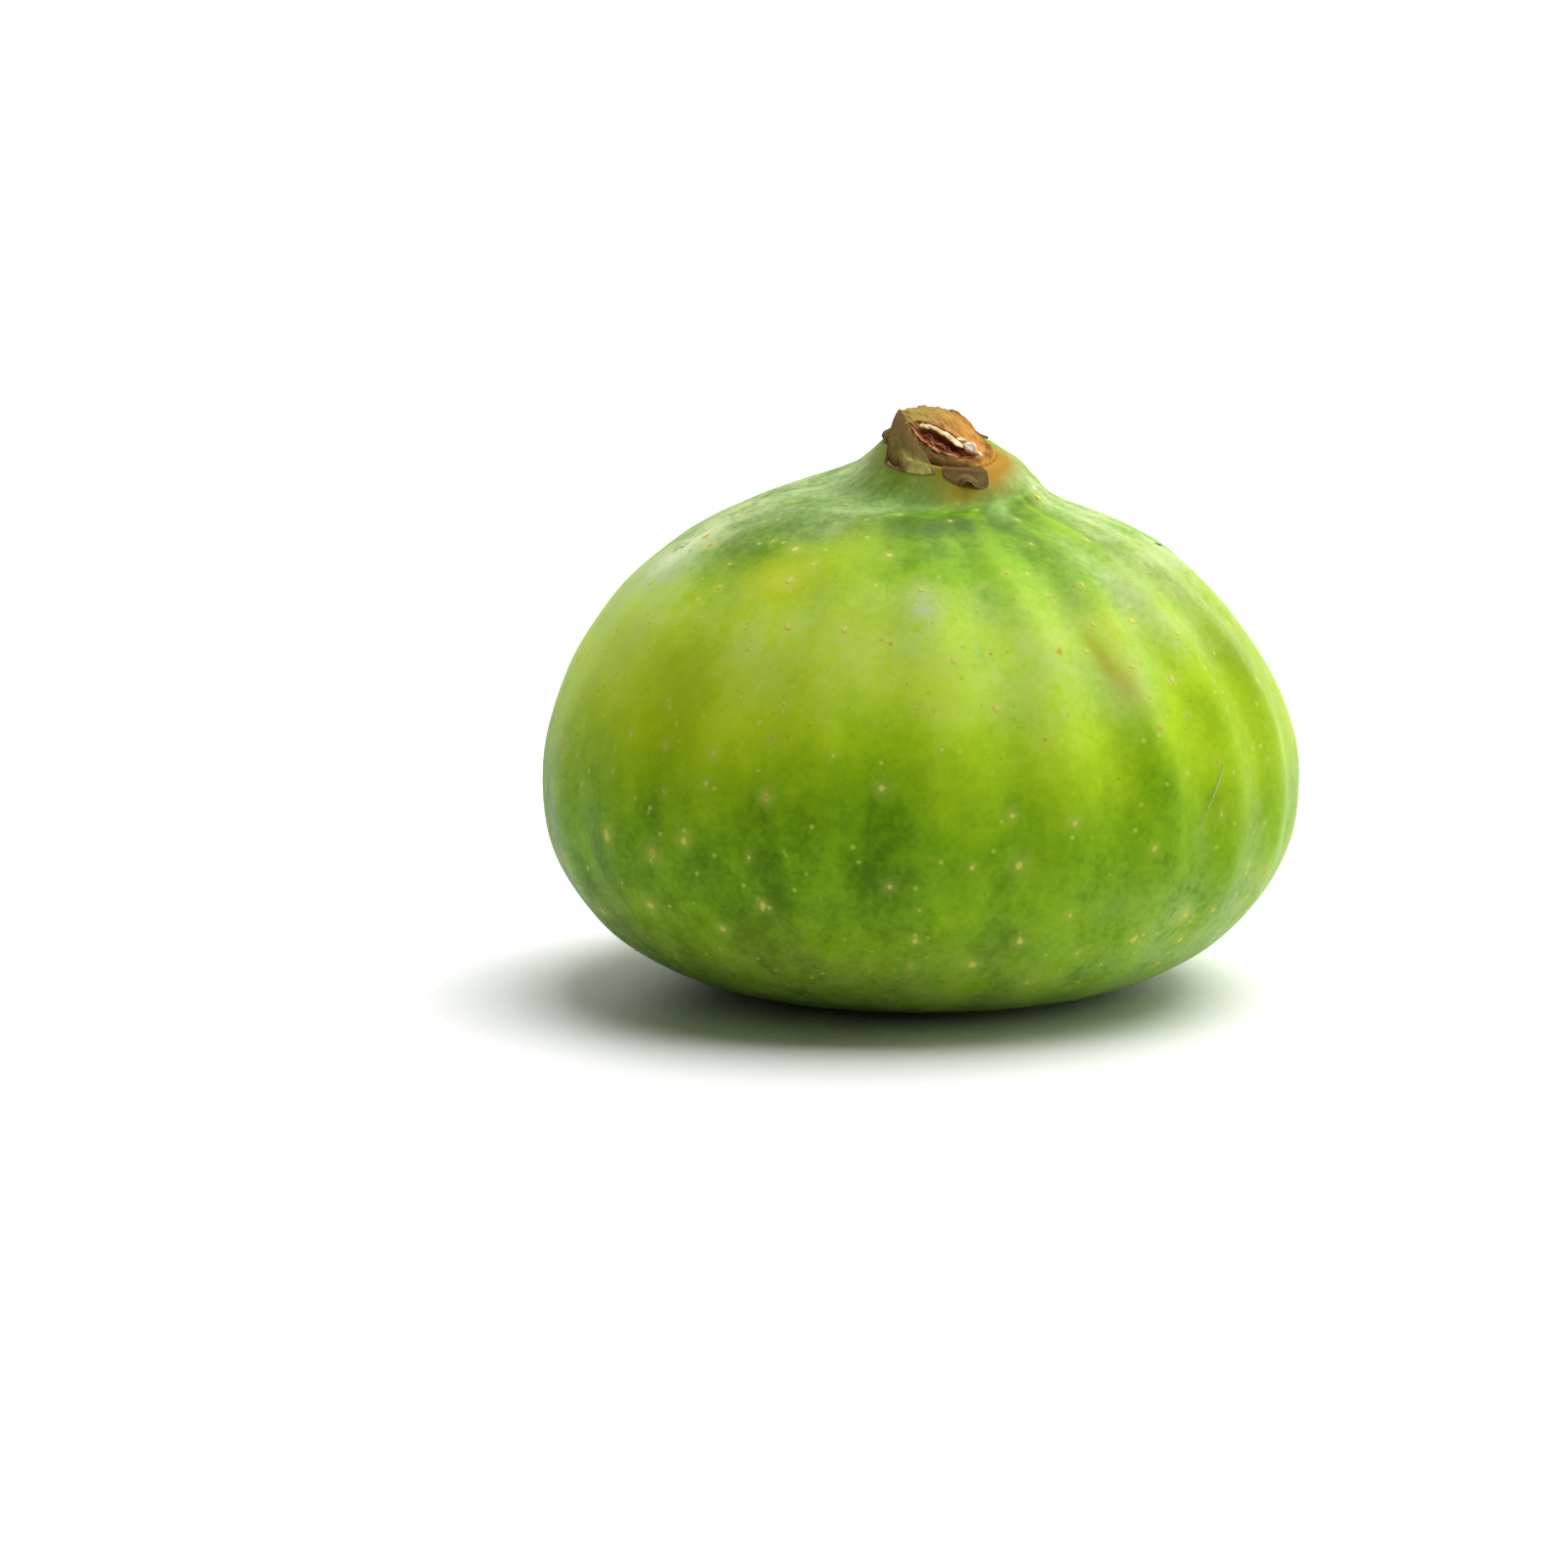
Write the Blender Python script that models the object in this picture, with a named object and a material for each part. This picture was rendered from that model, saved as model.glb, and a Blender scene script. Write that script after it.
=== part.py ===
"""A whole fresh green fig, standing on its own base with the stalk up, at its real size.

Metres, +Z up. The origin is on the surface that the fig stands on, under the middle of the fruit.
-Y is the front, the side that the stalk's cut faces, and +X is the fig's right.

Three nodes: the fruit with its ribs, neck and stalk seat; the cut stalk with its dried bracts;
and the small scales that close the eye, in the dimple under the fruit. Each is a sphere's grid
of rows and columns, whose points are moved to where a formula puts them.
"""

import math

import bmesh
import bpy
import numpy as np
from mathutils import Vector

MM = 0.001
TURN = 2 * math.pi

# The fruit's half outline as (radius, height): the eye's dimple, the flat ring that the fig
# stands on, the equator, the shoulder and the seat that the stalk sits in.
DIMPLE_RADIUS, DIMPLE_DEPTH = 4.0 * MM, 1.7 * MM
FLAT_RADIUS = 11.5 * MM
BODY_RADIUS, EQUATOR = 29.6 * MM, 16.0 * MM
SHOULDER_RADIUS, SHOULDER = 13.7 * MM, 37.7 * MM
SEAT_RADIUS, SEAT = 4.6 * MM, 42.6 * MM
SOCKET_RADIUS, SOCKET_DEPTH = 4.1 * MM, 1.0 * MM

# Low ribs that run down the skin from the neck, highest on the right, and three broad lobes.
FRUIT_COLUMNS = 120
RIBS = 20
RIB_HEIGHT = 0.30 * MM
LOBE_HEIGHT = 0.30 * MM

# The top of the shoulder lies to the left, and the neck leans back to the right and the front,
# where the stalk's seat tips down. All of it happens between these heights.
LEAN_FROM, LEAN_TO = 38.0 * MM, 41.7 * MM
SHOULDER_LEFT = 0.8 * MM
NECK_RIGHT = 2.7 * MM
NECK_FRONT = 1.2 * MM
TIP_FRONT = math.tan(math.radians(14))
TIP_RIGHT = math.tan(math.radians(8))

# On the left the shoulder meets the neck in a sharper hollow, this deep at this radius.
HOLLOW_DEPTH, HOLLOW_RADIUS = 1.5 * MM, 7.4 * MM

# The stalk, with heights from its seat: it was cut across a slope that faces the front right.
STALK_COLUMNS, CUT_RINGS = 72, 11
STALK_RADIUS, STALK_BOTTOM = 3.8 * MM, -0.7 * MM
RIM_RADIUS, RIM_ROUND = 3.55 * MM, 0.12 * MM
STALK_LEAN_LEFT = 0.2
CUT_MIDDLE = 1.15 * MM
CUT_SLOPE = 0.50
CUT_FACES = math.radians(-45)
CUT_TOP, CUT_FOOT = 1.9 * MM, 0.45 * MM
CUT_SOFTNESS = 0.2 * MM

# The dried bracts round the stalk's foot: the azimuth of each one's middle and half of its
# spread, in degrees. Each stands clear of the neck by the gap that its underside keeps.
BRACTS = ((-125, 30), (-62, 26), (95, 34))
BRACT_EDGE = math.radians(12)
BRACT_FOOT, BRACT_THICKNESS = 0.3 * MM, 0.35 * MM
BRACT_DROP = 0.45 * MM
BRACT_REACH = 1.4 * MM
BRACT_WAVE, BRACT_WAVES = 0.12 * MM, 9

# The dry tip of an old scale that stands out on the left.
KNOB_AZIMUTH, KNOB_SPREAD, KNOB_HEIGHT = math.radians(176), math.radians(16), 0.7 * MM

# The torn pith, a hollow in the cut: its middle, half length, half width, depth and turn.
WOUND_MIDDLE = (0.3 * MM, -0.2 * MM)
WOUND_HALF_LENGTH, WOUND_HALF_WIDTH, WOUND_DEPTH = 2.9 * MM, 1.1 * MM, 0.9 * MM
WOUND_TURN = math.radians(-24)
PITH_OFFSET, PITH_HALF_WIDTH, PITH_HEIGHT = 0.9 * MM, 0.45 * MM, 0.35 * MM

# The eye's scales: a rosette of outer tips and one of inner tips, round a pinhole.
EYE_COLUMNS, EYE_RINGS = 40, 7
EYE_RADIUS = 3.0 * MM
EYE_LOWEST, EYE_HIGHEST = 0.45 * MM, 1.15 * MM
EYE_TIPS = 5
TIP_STEP, PINHOLE_DEPTH = 0.25 * MM, 0.3 * MM


def rise(value, start, end):
    """0 below start, 1 above end, and a smooth S between them."""
    share = np.clip((value - start) / (end - start), 0, 1)
    return share * share * (3 - 2 * share)


def bezier(points, share):
    """The point at that share of a cubic Bezier curve, as (radius, height)."""
    a, b, c, d = (np.array(p, float) for p in points)
    rest = 1 - share
    return rest**3 * a + 3 * rest**2 * share * b + 3 * rest * share**2 * c + share**3 * d


def rows_of(stretches):
    """(radius, height) of each row of points: every stretch is a number of rows and a Bezier curve."""
    rows = [np.array(stretches[0][1], float)]
    for count, *points in stretches:
        for step in range(1, count + 1):
            rows.append(bezier(points, step / count))
    return rows


def wrapped_sphere(name, columns, last_row, place):
    """A sphere's grid whose points are moved: place(azimuth, row) gives each one's position."""
    form = bmesh.new()
    bmesh.ops.create_uvsphere(form, u_segments=columns, v_segments=last_row, radius=1)
    for vertex in form.verts:
        azimuth = math.atan2(vertex.co.y, vertex.co.x)
        from_top = math.acos(max(-1, min(1, vertex.co.z))) / math.pi
        vertex.co = place(azimuth, round((1 - from_top) * last_row))
    bmesh.ops.triangulate(form, faces=form.faces)
    mesh = bpy.data.meshes.new(name)
    form.to_mesh(mesh)
    form.free()
    mesh.shade_smooth()
    made = bpy.data.objects.new(name, mesh)
    bpy.context.scene.collection.objects.link(made)
    return made


def fruit_rows():
    foot = (FLAT_RADIUS, 0)
    equator = (BODY_RADIUS, EQUATOR)
    shoulder = (SHOULDER_RADIUS, SHOULDER)
    lip = (SEAT_RADIUS, SEAT)
    dimple = (DIMPLE_RADIUS, 0)
    socket = (SOCKET_RADIUS, SEAT - SOCKET_DEPTH)
    middle = (0, SEAT - SOCKET_DEPTH)
    return rows_of((
        (3, (0, DIMPLE_DEPTH), (2.4 * MM, DIMPLE_DEPTH), (3.6 * MM, 1.6 * MM), dimple),
        (1, dimple, dimple, foot, foot),
        (7, foot, (19.7 * MM, 0), (BODY_RADIUS, 5.0 * MM), equator),
        (8, equator, (BODY_RADIUS, 27 * MM), (21.9 * MM, 34.3 * MM), shoulder),
        (7, shoulder, (10.3 * MM, 39.3 * MM), (6.4 * MM, 40.6 * MM), lip),
        (2, lip, (4.3 * MM, SEAT), (4.1 * MM, SEAT - 0.1 * MM), socket),
        (1, socket, socket, middle, middle),
    ))


def skin_relief(azimuth, height):
    """How far the skin stands out for its ribs and lobes: none on the base and at the seat."""
    uneven = azimuth + 0.07 * math.sin(azimuth + 0.8) + 0.04 * math.sin(3 * azimuth + 2.0)
    strength = 0.55 + 0.40 * math.cos(azimuth + 0.4) + 0.10 * math.cos(5 * azimuth)
    ribs = RIB_HEIGHT * strength * math.cos(RIBS * uneven)
    lobes = LOBE_HEIGHT * (math.cos(3 * azimuth + 1.4) + 0.5 * math.cos(2 * azimuth - 0.9))
    ribs *= 1 - rise(height, 38 * MM, 41 * MM)
    lobes *= 1 - rise(height, 30 * MM, 38 * MM)
    return rise(height, 2 * MM, 14 * MM) * (ribs + lobes)


def leaned(x, y, height, lean):
    """A point moved with the neck's lean: 0 leaves it, 1 puts it where the stalk's seat is."""
    left = SHOULDER_LEFT * rise(height, 24 * MM, LEAN_FROM)
    tipped = y * TIP_FRONT - x * TIP_RIGHT
    return Vector((x + NECK_RIGHT * lean - left, y - NECK_FRONT * lean, height + tipped * lean))


def neck_hollow(azimuth, radius):
    """How far the skin is drawn down in the hollow at the left of the neck."""
    near = rise(radius, SEAT_RADIUS, HOLLOW_RADIUS) * (1 - rise(radius, HOLLOW_RADIUS, SHOULDER_RADIUS))
    return HOLLOW_DEPTH * near * (0.5 - 0.5 * math.cos(azimuth)) ** 2


def make_fruit():
    rows = fruit_rows()

    def place(azimuth, row):
        radius, height = rows[row]
        lean = rise(height, LEAN_FROM, LEAN_TO)
        if height > SHOULDER and radius > SOCKET_RADIUS:
            height -= neck_hollow(azimuth, radius)
        if radius > DIMPLE_RADIUS:
            radius += skin_relief(azimuth, height)
        return leaned(radius * math.cos(azimuth), radius * math.sin(azimuth), height, lean)

    return wrapped_sphere("fruit", FRUIT_COLUMNS, len(rows) - 1, place)


def soft_min(a, b, softness):
    """The lower of two values, with the corner between them rounded."""
    return -softness * np.logaddexp(-a / softness, -b / softness)


def soft_max(a, b, softness):
    return -soft_min(-a, -b, softness)


def slope_height(x, y):
    """Height of the stalk's cut over a point of its seat: a slope with a level top and foot."""
    slope = CUT_MIDDLE - CUT_SLOPE * (x * math.cos(CUT_FACES) + y * math.sin(CUT_FACES))
    return soft_max(soft_min(slope, CUT_TOP, CUT_SOFTNESS), CUT_FOOT, CUT_SOFTNESS)


def cut_height(x, y):
    """The slope with the torn pith in it: an oval hollow, and a ridge of pith along its upper side."""
    dx, dy = x - WOUND_MIDDLE[0], y - WOUND_MIDDLE[1]
    along = dx * math.cos(WOUND_TURN) + dy * math.sin(WOUND_TURN)
    across = dy * math.cos(WOUND_TURN) - dx * math.sin(WOUND_TURN)
    oval = (along / WOUND_HALF_LENGTH) ** 2 + (across / WOUND_HALF_WIDTH) ** 2
    hollow = WOUND_DEPTH * math.exp(-(oval**2))
    off_pith = (across - PITH_OFFSET) / PITH_HALF_WIDTH
    pith = PITH_HEIGHT * math.exp(-(off_pith**2) - (along / WOUND_HALF_LENGTH) ** 4)
    return slope_height(x, y) - hollow + pith


def turn_between(azimuth, other):
    """The angle between two azimuths, from 0 to half a turn."""
    return abs((azimuth - other + math.pi) % TURN - math.pi)


def bract_share(azimuth):
    """1 where a dried bract hangs from the stalk's foot, 0 between the bracts."""
    share = 0
    for middle, half_spread in BRACTS:
        off = turn_between(azimuth, math.radians(middle))
        share += rise(math.radians(half_spread) - off, 0, BRACT_EDGE)
    return share


def stalk_side(azimuth):
    """(radius, height) of each row, from the stalk's hidden end over its bracts to the rim of the cut."""
    bract = bract_share(azimuth)
    rim = slope_height(RIM_RADIUS * math.cos(azimuth), RIM_RADIUS * math.sin(azimuth))
    rim = max(rim, CUT_FOOT + bract * (BRACT_FOOT + BRACT_THICKNESS)) - RIM_ROUND
    knob = KNOB_HEIGHT * rise(KNOB_SPREAD - turn_between(azimuth, KNOB_AZIMUTH), 0, KNOB_SPREAD)
    reach = STALK_RADIUS + BRACT_REACH * bract
    wave = BRACT_WAVE * bract * math.cos(BRACT_WAVES * azimuth)
    under = BRACT_FOOT - BRACT_DROP * bract + wave
    over = min(under + BRACT_THICKNESS, rim - 0.05 * MM)
    return (
        (0, STALK_BOTTOM),
        (STALK_RADIUS * 0.8, STALK_BOTTOM),
        (STALK_RADIUS, STALK_BOTTOM + 0.2 * MM),
        (STALK_RADIUS, min(BRACT_FOOT, rim - 0.3 * MM)),
        ((STALK_RADIUS + reach) / 2, min(BRACT_FOOT, rim - 0.25 * MM)),
        (reach - 0.15 * MM * bract, min(under, rim - 0.2 * MM)),
        (reach, min((under + over) / 2, rim - 0.1 * MM)),
        (reach - 0.12 * MM * bract, over),
        (STALK_RADIUS + knob, over + 0.4 * (rim - over)),
        (STALK_RADIUS + 0.3 * knob, over + 0.75 * (rim - over)),
        (RIM_RADIUS, rim),
    )


def make_stalk():
    side_rows = len(stalk_side(0))

    def place(azimuth, row):
        if row < side_rows:
            radius, height = stalk_side(azimuth)[row]
        else:
            radius = RIM_RADIUS * (1 - (row - side_rows + 1) / CUT_RINGS)
            height = cut_height(radius * math.cos(azimuth), radius * math.sin(azimuth))
        x, y = radius * math.cos(azimuth), radius * math.sin(azimuth)
        return leaned(x - STALK_LEAN_LEFT * max(height, 0), y, SEAT + height, 1)

    return wrapped_sphere("stalk", STALK_COLUMNS, side_rows + CUT_RINGS - 1, place)


def eye_face(azimuth, share):
    """Height of the rosette's lower face: it steps up past each row of tips, and at the pinhole."""
    inner_tip = abs(math.sin(azimuth * EYE_TIPS / 2))
    step = TIP_STEP * rise(share, 0.5 + 0.25 * inner_tip, 0.6 + 0.25 * inner_tip)
    pinhole = PINHOLE_DEPTH * (1 - rise(share, 0.1, 0.3))
    rounded = (EYE_HIGHEST - EYE_LOWEST - TIP_STEP - 0.1 * MM) * share**6
    return EYE_LOWEST + step + pinhole + rounded


def make_eye_scales():
    def place(azimuth, row):
        share = min(row, 2 * EYE_RINGS - row) / EYE_RINGS
        height = EYE_HIGHEST if row > EYE_RINGS else eye_face(azimuth, share)
        outer_tip = abs(math.cos(azimuth * EYE_TIPS / 2))
        radius = share * EYE_RADIUS * (0.8 + 0.2 * outer_tip)
        return Vector((radius * math.cos(azimuth), radius * math.sin(azimuth), height))

    return wrapped_sphere("eye_scales", EYE_COLUMNS, 2 * EYE_RINGS, place)


def skin(name, colour, roughness):
    """A plain material: colour is linear red, green and blue."""
    material = bpy.data.materials.new(name)
    material.use_nodes = True
    shader = material.node_tree.nodes["Principled BSDF"]
    shader.inputs["Base Color"].default_value = (*colour, 1)
    shader.inputs["Roughness"].default_value = roughness
    shader.inputs["Metallic"].default_value = 0
    return material


def main():
    for found in list(bpy.data.objects):
        bpy.data.objects.remove(found)
    make_fruit().data.materials.append(skin("green fig skin", (0.27, 0.46, 0.06), 0.38))
    make_stalk().data.materials.append(skin("dried stalk", (0.28, 0.15, 0.05), 0.75))
    make_eye_scales().data.materials.append(skin("dried eye scales", (0.32, 0.20, 0.10), 0.75))


main()
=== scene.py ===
# %% [markdown]
# # A fresh green fig
# One whole fig stands on its own base with its cut stalk up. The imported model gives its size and
# place. This script gives each of its pieces the fine shape and the finish that the real one has.

import math

import bpy
import numpy as np
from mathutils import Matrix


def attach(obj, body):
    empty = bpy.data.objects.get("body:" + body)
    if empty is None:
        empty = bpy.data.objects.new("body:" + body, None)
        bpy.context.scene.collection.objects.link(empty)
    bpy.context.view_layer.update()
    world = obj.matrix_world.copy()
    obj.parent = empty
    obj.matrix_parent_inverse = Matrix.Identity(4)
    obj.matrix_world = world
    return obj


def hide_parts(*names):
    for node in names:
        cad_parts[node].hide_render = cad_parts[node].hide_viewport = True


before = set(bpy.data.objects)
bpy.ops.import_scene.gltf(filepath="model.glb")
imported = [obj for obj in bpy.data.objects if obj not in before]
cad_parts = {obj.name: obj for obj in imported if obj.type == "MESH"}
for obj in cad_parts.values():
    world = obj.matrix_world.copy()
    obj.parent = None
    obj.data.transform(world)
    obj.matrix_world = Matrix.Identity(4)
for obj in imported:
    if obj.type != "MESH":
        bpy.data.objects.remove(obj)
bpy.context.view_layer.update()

# %% [markdown]
# ## Helpers for shapes
# Every shape below is a grid of points, worked out as whole numpy arrays: rows run one way over
# the piece and columns the other. A closed skin wraps its columns round and ends in two poles,
# and an open sheet does neither. Sculpting by hand would do as well for one fig, but a formula can
# be measured and changed.

# %% Rises, curves and soft noise
MM = 0.001
TURN = 2 * math.pi


def rise(value, start, end):
    """0 below start, 1 above end, and between them the S curve 3s^2 - 2s^3."""
    share = np.clip((value - start) / (end - start), 0, 1)
    return share * share * (3 - 2 * share)


def bump(value, middle, half_width):
    """A bell, 1 at the middle: e to the power of minus the squared distance in half widths."""
    return np.exp(-(((value - middle) / half_width) ** 2))


def bezier(points, share):
    """Points of a cubic Bezier curve: the four corners weighed by (1-s)^3, 3(1-s)^2 s, 3(1-s) s^2, s^3."""
    corners = np.array(points, float)
    s = np.asarray(share)[..., None]
    weights = ((1 - s) ** 3, 3 * (1 - s) ** 2 * s, 3 * (1 - s) * s**2, s**3)
    return sum(weight * corner for weight, corner in zip(weights, corners))


def soft_noise(place, size, seed, waves=14):
    """Smooth noise from about -1 to 1: the sum of sine waves in random directions, size apart."""
    draw = np.random.default_rng(seed)
    ways = draw.normal(size=(waves, place.shape[-1]))
    ways *= TURN / size / np.linalg.norm(ways, axis=1, keepdims=True)
    ways *= draw.uniform(0.6, 1.5, (waves, 1))
    phases = draw.uniform(0, TURN, waves)
    return sum(np.sin(place @ way + phase) for way, phase in zip(ways, phases)) / math.sqrt(waves)


def turn_between(azimuth, other):
    """The signed angle from one azimuth to another, within half a turn either way."""
    return (azimuth - other + math.pi) % TURN - math.pi


print("a rise from 0 to 1 is", rise(0.5, 0, 1), "half way, and a bell is 1 at its middle:", bump(2, 2, 1))

# %% Grids to meshes
def mesh_object(name, points, faces, **values):
    """An object of these points and quads or triangles. values are numbers kept on each point."""
    mesh = bpy.data.meshes.new(name)
    mesh.from_pydata(points.reshape(-1, 3).tolist(), [], faces)
    for key, value in values.items():
        vector = value.shape[-1] == 3
        kept = mesh.attributes.new(key, "FLOAT_VECTOR" if vector else "FLOAT", "POINT")
        numbers = np.ascontiguousarray(value, np.float32).ravel()
        kept.data.foreach_set("vector" if vector else "value", numbers)
    mesh.shade_smooth()
    made = bpy.data.objects.new(name, mesh)
    bpy.context.scene.collection.objects.link(made)
    print(name, len(mesh.vertices), "points,", sum(len(face) - 2 for face in faces), "triangles")
    return made


def quads(index):
    """Quads between neighbours in a grid of point numbers."""
    corners = (index[:-1, :-1], index[:-1, 1:], index[1:, 1:], index[1:, :-1])
    return np.stack(corners, axis=-1).reshape(-1, 4).tolist()


def closed_skin(name, grid, **values):
    """A closed mesh from rows that go round: the first row and the last are shrunk to one pole each.

    values are grids of the same rows and columns, with one number or three at each point.
    """
    rows, columns, _ = grid.shape
    inner = grid[1:-1].reshape(-1, 3)
    points = np.vstack([inner, grid[0].mean(axis=0), grid[-1].mean(axis=0)])
    index = np.arange((rows - 2) * columns).reshape(rows - 2, columns)
    index = np.hstack([index, index[:, :1]])
    first, last = len(inner), len(inner) + 1
    ends = [[first, b, a] for a, b in zip(index[0, :-1].tolist(), index[0, 1:].tolist())]
    ends += [[last, a, b] for a, b in zip(index[-1, :-1].tolist(), index[-1, 1:].tolist())]
    kept = {}
    for key, value in values.items():
        value = value.reshape(rows, columns, -1)
        kept[key] = np.vstack([value[1:-1].reshape(len(inner), -1), value[[0, -1]].mean(axis=1)])
    return mesh_object(name, points, quads(index) + ends, **kept)


# %% [markdown]
# ## The fruit's form
# A fig is a turned shape that has been pushed about: its half outline is carried round the axis,
# then low ribs are added, and the neck leans. A subdivided ball could be pulled to this shape, but
# its ribs would be uneven guesses. Numbers here are the model's own, in millimetres, so that the
# fine skin lies where the plain solid is.

# %% The half outline
FLAT_RADIUS, BODY_RADIUS, EQUATOR = 11.5, 29.6, 16.0
SHOULDER_RADIUS, SHOULDER = 13.7, 37.7
SEAT_RADIUS, SEAT = 4.6, 42.6
DIMPLE_RADIUS, DIMPLE_DEPTH = 4.0, 1.7

OUTLINE = (
    (10, (0, DIMPLE_DEPTH), (2.4, DIMPLE_DEPTH), (3.6, 1.6), (DIMPLE_RADIUS, 0)),
    (5, (DIMPLE_RADIUS, 0), (6.5, 0), (9, 0), (FLAT_RADIUS, 0)),
    (58, (FLAT_RADIUS, 0), (19.7, 0), (BODY_RADIUS, 5.0), (BODY_RADIUS, EQUATOR)),
    (62, (BODY_RADIUS, EQUATOR), (BODY_RADIUS, 27), (21.9, 34.3), (SHOULDER_RADIUS, SHOULDER)),
    (46, (SHOULDER_RADIUS, SHOULDER), (10.3, 39.3), (6.4, 40.6), (SEAT_RADIUS, SEAT)),
    (9, (SEAT_RADIUS, SEAT), (4.3, 42.75), (4.0, 42.6), (3.6, 42.2)),
    (5, (3.6, 42.2), (2.5, 41.9), (1.2, 41.9), (0, 41.9)),
)


def outline_rows():
    """(radius, height) of every row, from the eye's dimple under the fruit to the stalk's seat."""
    parts = [np.array([OUTLINE[0][1]], float)]
    for count, *corners in OUTLINE:
        parts.append(bezier(corners, np.arange(1, count + 1) / count))
    return np.vstack(parts)


outline = outline_rows()
steps = np.linalg.norm(np.diff(outline, axis=0), axis=1)
row_place = np.concatenate([[0], np.cumsum(steps)]) / steps.sum()
print(len(outline), "rows;", round(steps.sum(), 1), "mm from the eye to the stalk")

# %% Ribs, lobes and the leaning neck
RIBS, RIB_HEIGHT, LOBE_HEIGHT = 20, 0.30, 0.30
RELIEF_START, RIBS_END, LOBES_END = (2, 14), (38, 41), (30, 38)
LEAN_FROM, LEAN_TO = 38.0, 41.7
SHOULDER_LEFT, NECK_RIGHT, NECK_FRONT = 0.8, 2.7, 1.2
TIP_FRONT, TIP_RIGHT = math.tan(math.radians(14)), math.tan(math.radians(8))
HOLLOW_DEPTH, HOLLOW_RADIUS, HOLLOW_END = 1.15, 7.4, 12.3
FILL_DEPTH, FILL_RADIUS, FILL_SPREAD = 0.5, 8.6, 1.9
RIGHT_SWELLS = ((41.5, 1.1, 0.65), (38.2, 1.2, -0.55), (34.3, 2.0, 0.55), (27.5, 4.5, -0.40))
UNEVEN_HEIGHT, UNEVEN_SIZE = 0.07, 9.0
FOLDS, FOLD_HEIGHT, FOLDS_START, FOLDS_END = 46, 0.05, (34, 38), (40, 42.4)
RIGHT_SIDE = (0.2, 0.9)


def rib_wave(azimuth):
    """The ribs as a cosine round the fruit, with its phase pushed to and fro so that they differ."""
    uneven = azimuth + 0.07 * np.sin(azimuth + 0.8) + 0.04 * np.sin(3 * azimuth + 2.0)
    strength = 0.55 + 0.40 * np.cos(azimuth + 0.4) + 0.10 * np.cos(5 * azimuth)
    return strength * np.cos(RIBS * uneven)


def skin_relief(azimuth, height):
    """Millimetres that the skin stands out: ribs, lobes and fine folds, none at the base or the seat."""
    ribs = RIB_HEIGHT * rib_wave(azimuth) * (1 - rise(height, *RIBS_END))
    lobes = LOBE_HEIGHT * (np.cos(3 * azimuth + 1.4) + 0.5 * np.cos(2 * azimuth - 0.9))
    folds = FOLD_HEIGHT * np.cos(FOLDS * azimuth + 2 * np.sin(3 * azimuth))
    folds = folds * rise(height, *FOLDS_START) * (1 - rise(height, *FOLDS_END))
    return rise(height, *RELIEF_START) * (ribs + lobes * (1 - rise(height, *LOBES_END)) + folds)


def leaned(x, y, height, lean):
    """Points in metres, moved with the neck's lean: 0 leaves them, 1 puts them round the stalk's seat."""
    left = SHOULDER_LEFT * rise(height, 24, LEAN_FROM)
    tipped = y * TIP_FRONT - x * TIP_RIGHT
    places = (x + NECK_RIGHT * lean - left, y - NECK_FRONT * lean, height + tipped * lean)
    return np.stack(np.broadcast_arrays(*places), axis=-1) * MM


def neck_hollow(azimuth, radius):
    """Millimetres that the neck is hollowed on its left, from seat to shoulder, less its right's fill."""
    ring = rise(radius, SEAT_RADIUS, HOLLOW_RADIUS) * (1 - rise(radius, HOLLOW_RADIUS, HOLLOW_END))
    fill = FILL_DEPTH * bump(radius, FILL_RADIUS, FILL_SPREAD) * rise(np.cos(azimuth), *RIGHT_SIDE)
    return HOLLOW_DEPTH * ring * (0.5 - 0.5 * np.cos(azimuth)) ** 2 - fill


def right_swell(azimuth, height):
    """Millimetres that the right side stands out or in: a bell up the side for each swelling."""
    swells = sum(amount * bump(height, level, spread) for level, spread, amount in RIGHT_SWELLS)
    return swells * rise(np.cos(azimuth), *RIGHT_SIDE)


def skin_place(azimuth, along):
    """Points of the skin: the outline's point at that share of its length, turned to the azimuth."""
    radius = np.interp(along, row_place, outline[:, 0])
    height = np.interp(along, row_place, outline[:, 1])
    lean = rise(height, LEAN_FROM, LEAN_TO)
    relief = np.where(radius > DIMPLE_RADIUS, skin_relief(azimuth, height), 0)
    ball = np.stack([np.cos(azimuth) * radius, np.sin(azimuth) * radius, height + 0 * azimuth], axis=-1)
    relief = relief + UNEVEN_HEIGHT * soft_noise(ball, UNEVEN_SIZE, 3) * rise(height, 1, 6)
    swell = np.where(radius > SEAT_RADIUS - 0.1, right_swell(azimuth, height), 0)
    outer = radius + relief * (1 - rise(height, 41, SEAT)) + swell
    sunk = height - np.where(height > SHOULDER, neck_hollow(azimuth, radius), 0)
    return leaned(outer * np.cos(azimuth), outer * np.sin(azimuth), sunk, lean)


print(RIBS, "ribs", RIB_HEIGHT, "mm high, and", FOLDS, "folds", FOLD_HEIGHT, "mm high round the neck")

# %% [markdown]
# ## The skin's surface
# The skin is one closed surface. Its colour changes along lines and in patches that follow the
# fruit. They could be painted on a picture, but a picture needs an unwrapped map, so each point
# keeps a few numbers for the material to read: where it lies round and along the fruit, how near
# it is to a breathing pore, and how much wax with painted sheen, yellow or painted shade it carries.

# %% Where the breathing pores are
PORE_TRIES, PORES, PORE_SPACING = 2600, 330, 2.3
PORE_LOWEST, PORE_HIGHEST = 0.8, 40.0
PORE_SMALLEST, PORE_RANGE = 0.13, 0.27
draw = np.random.default_rng(11)


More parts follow.
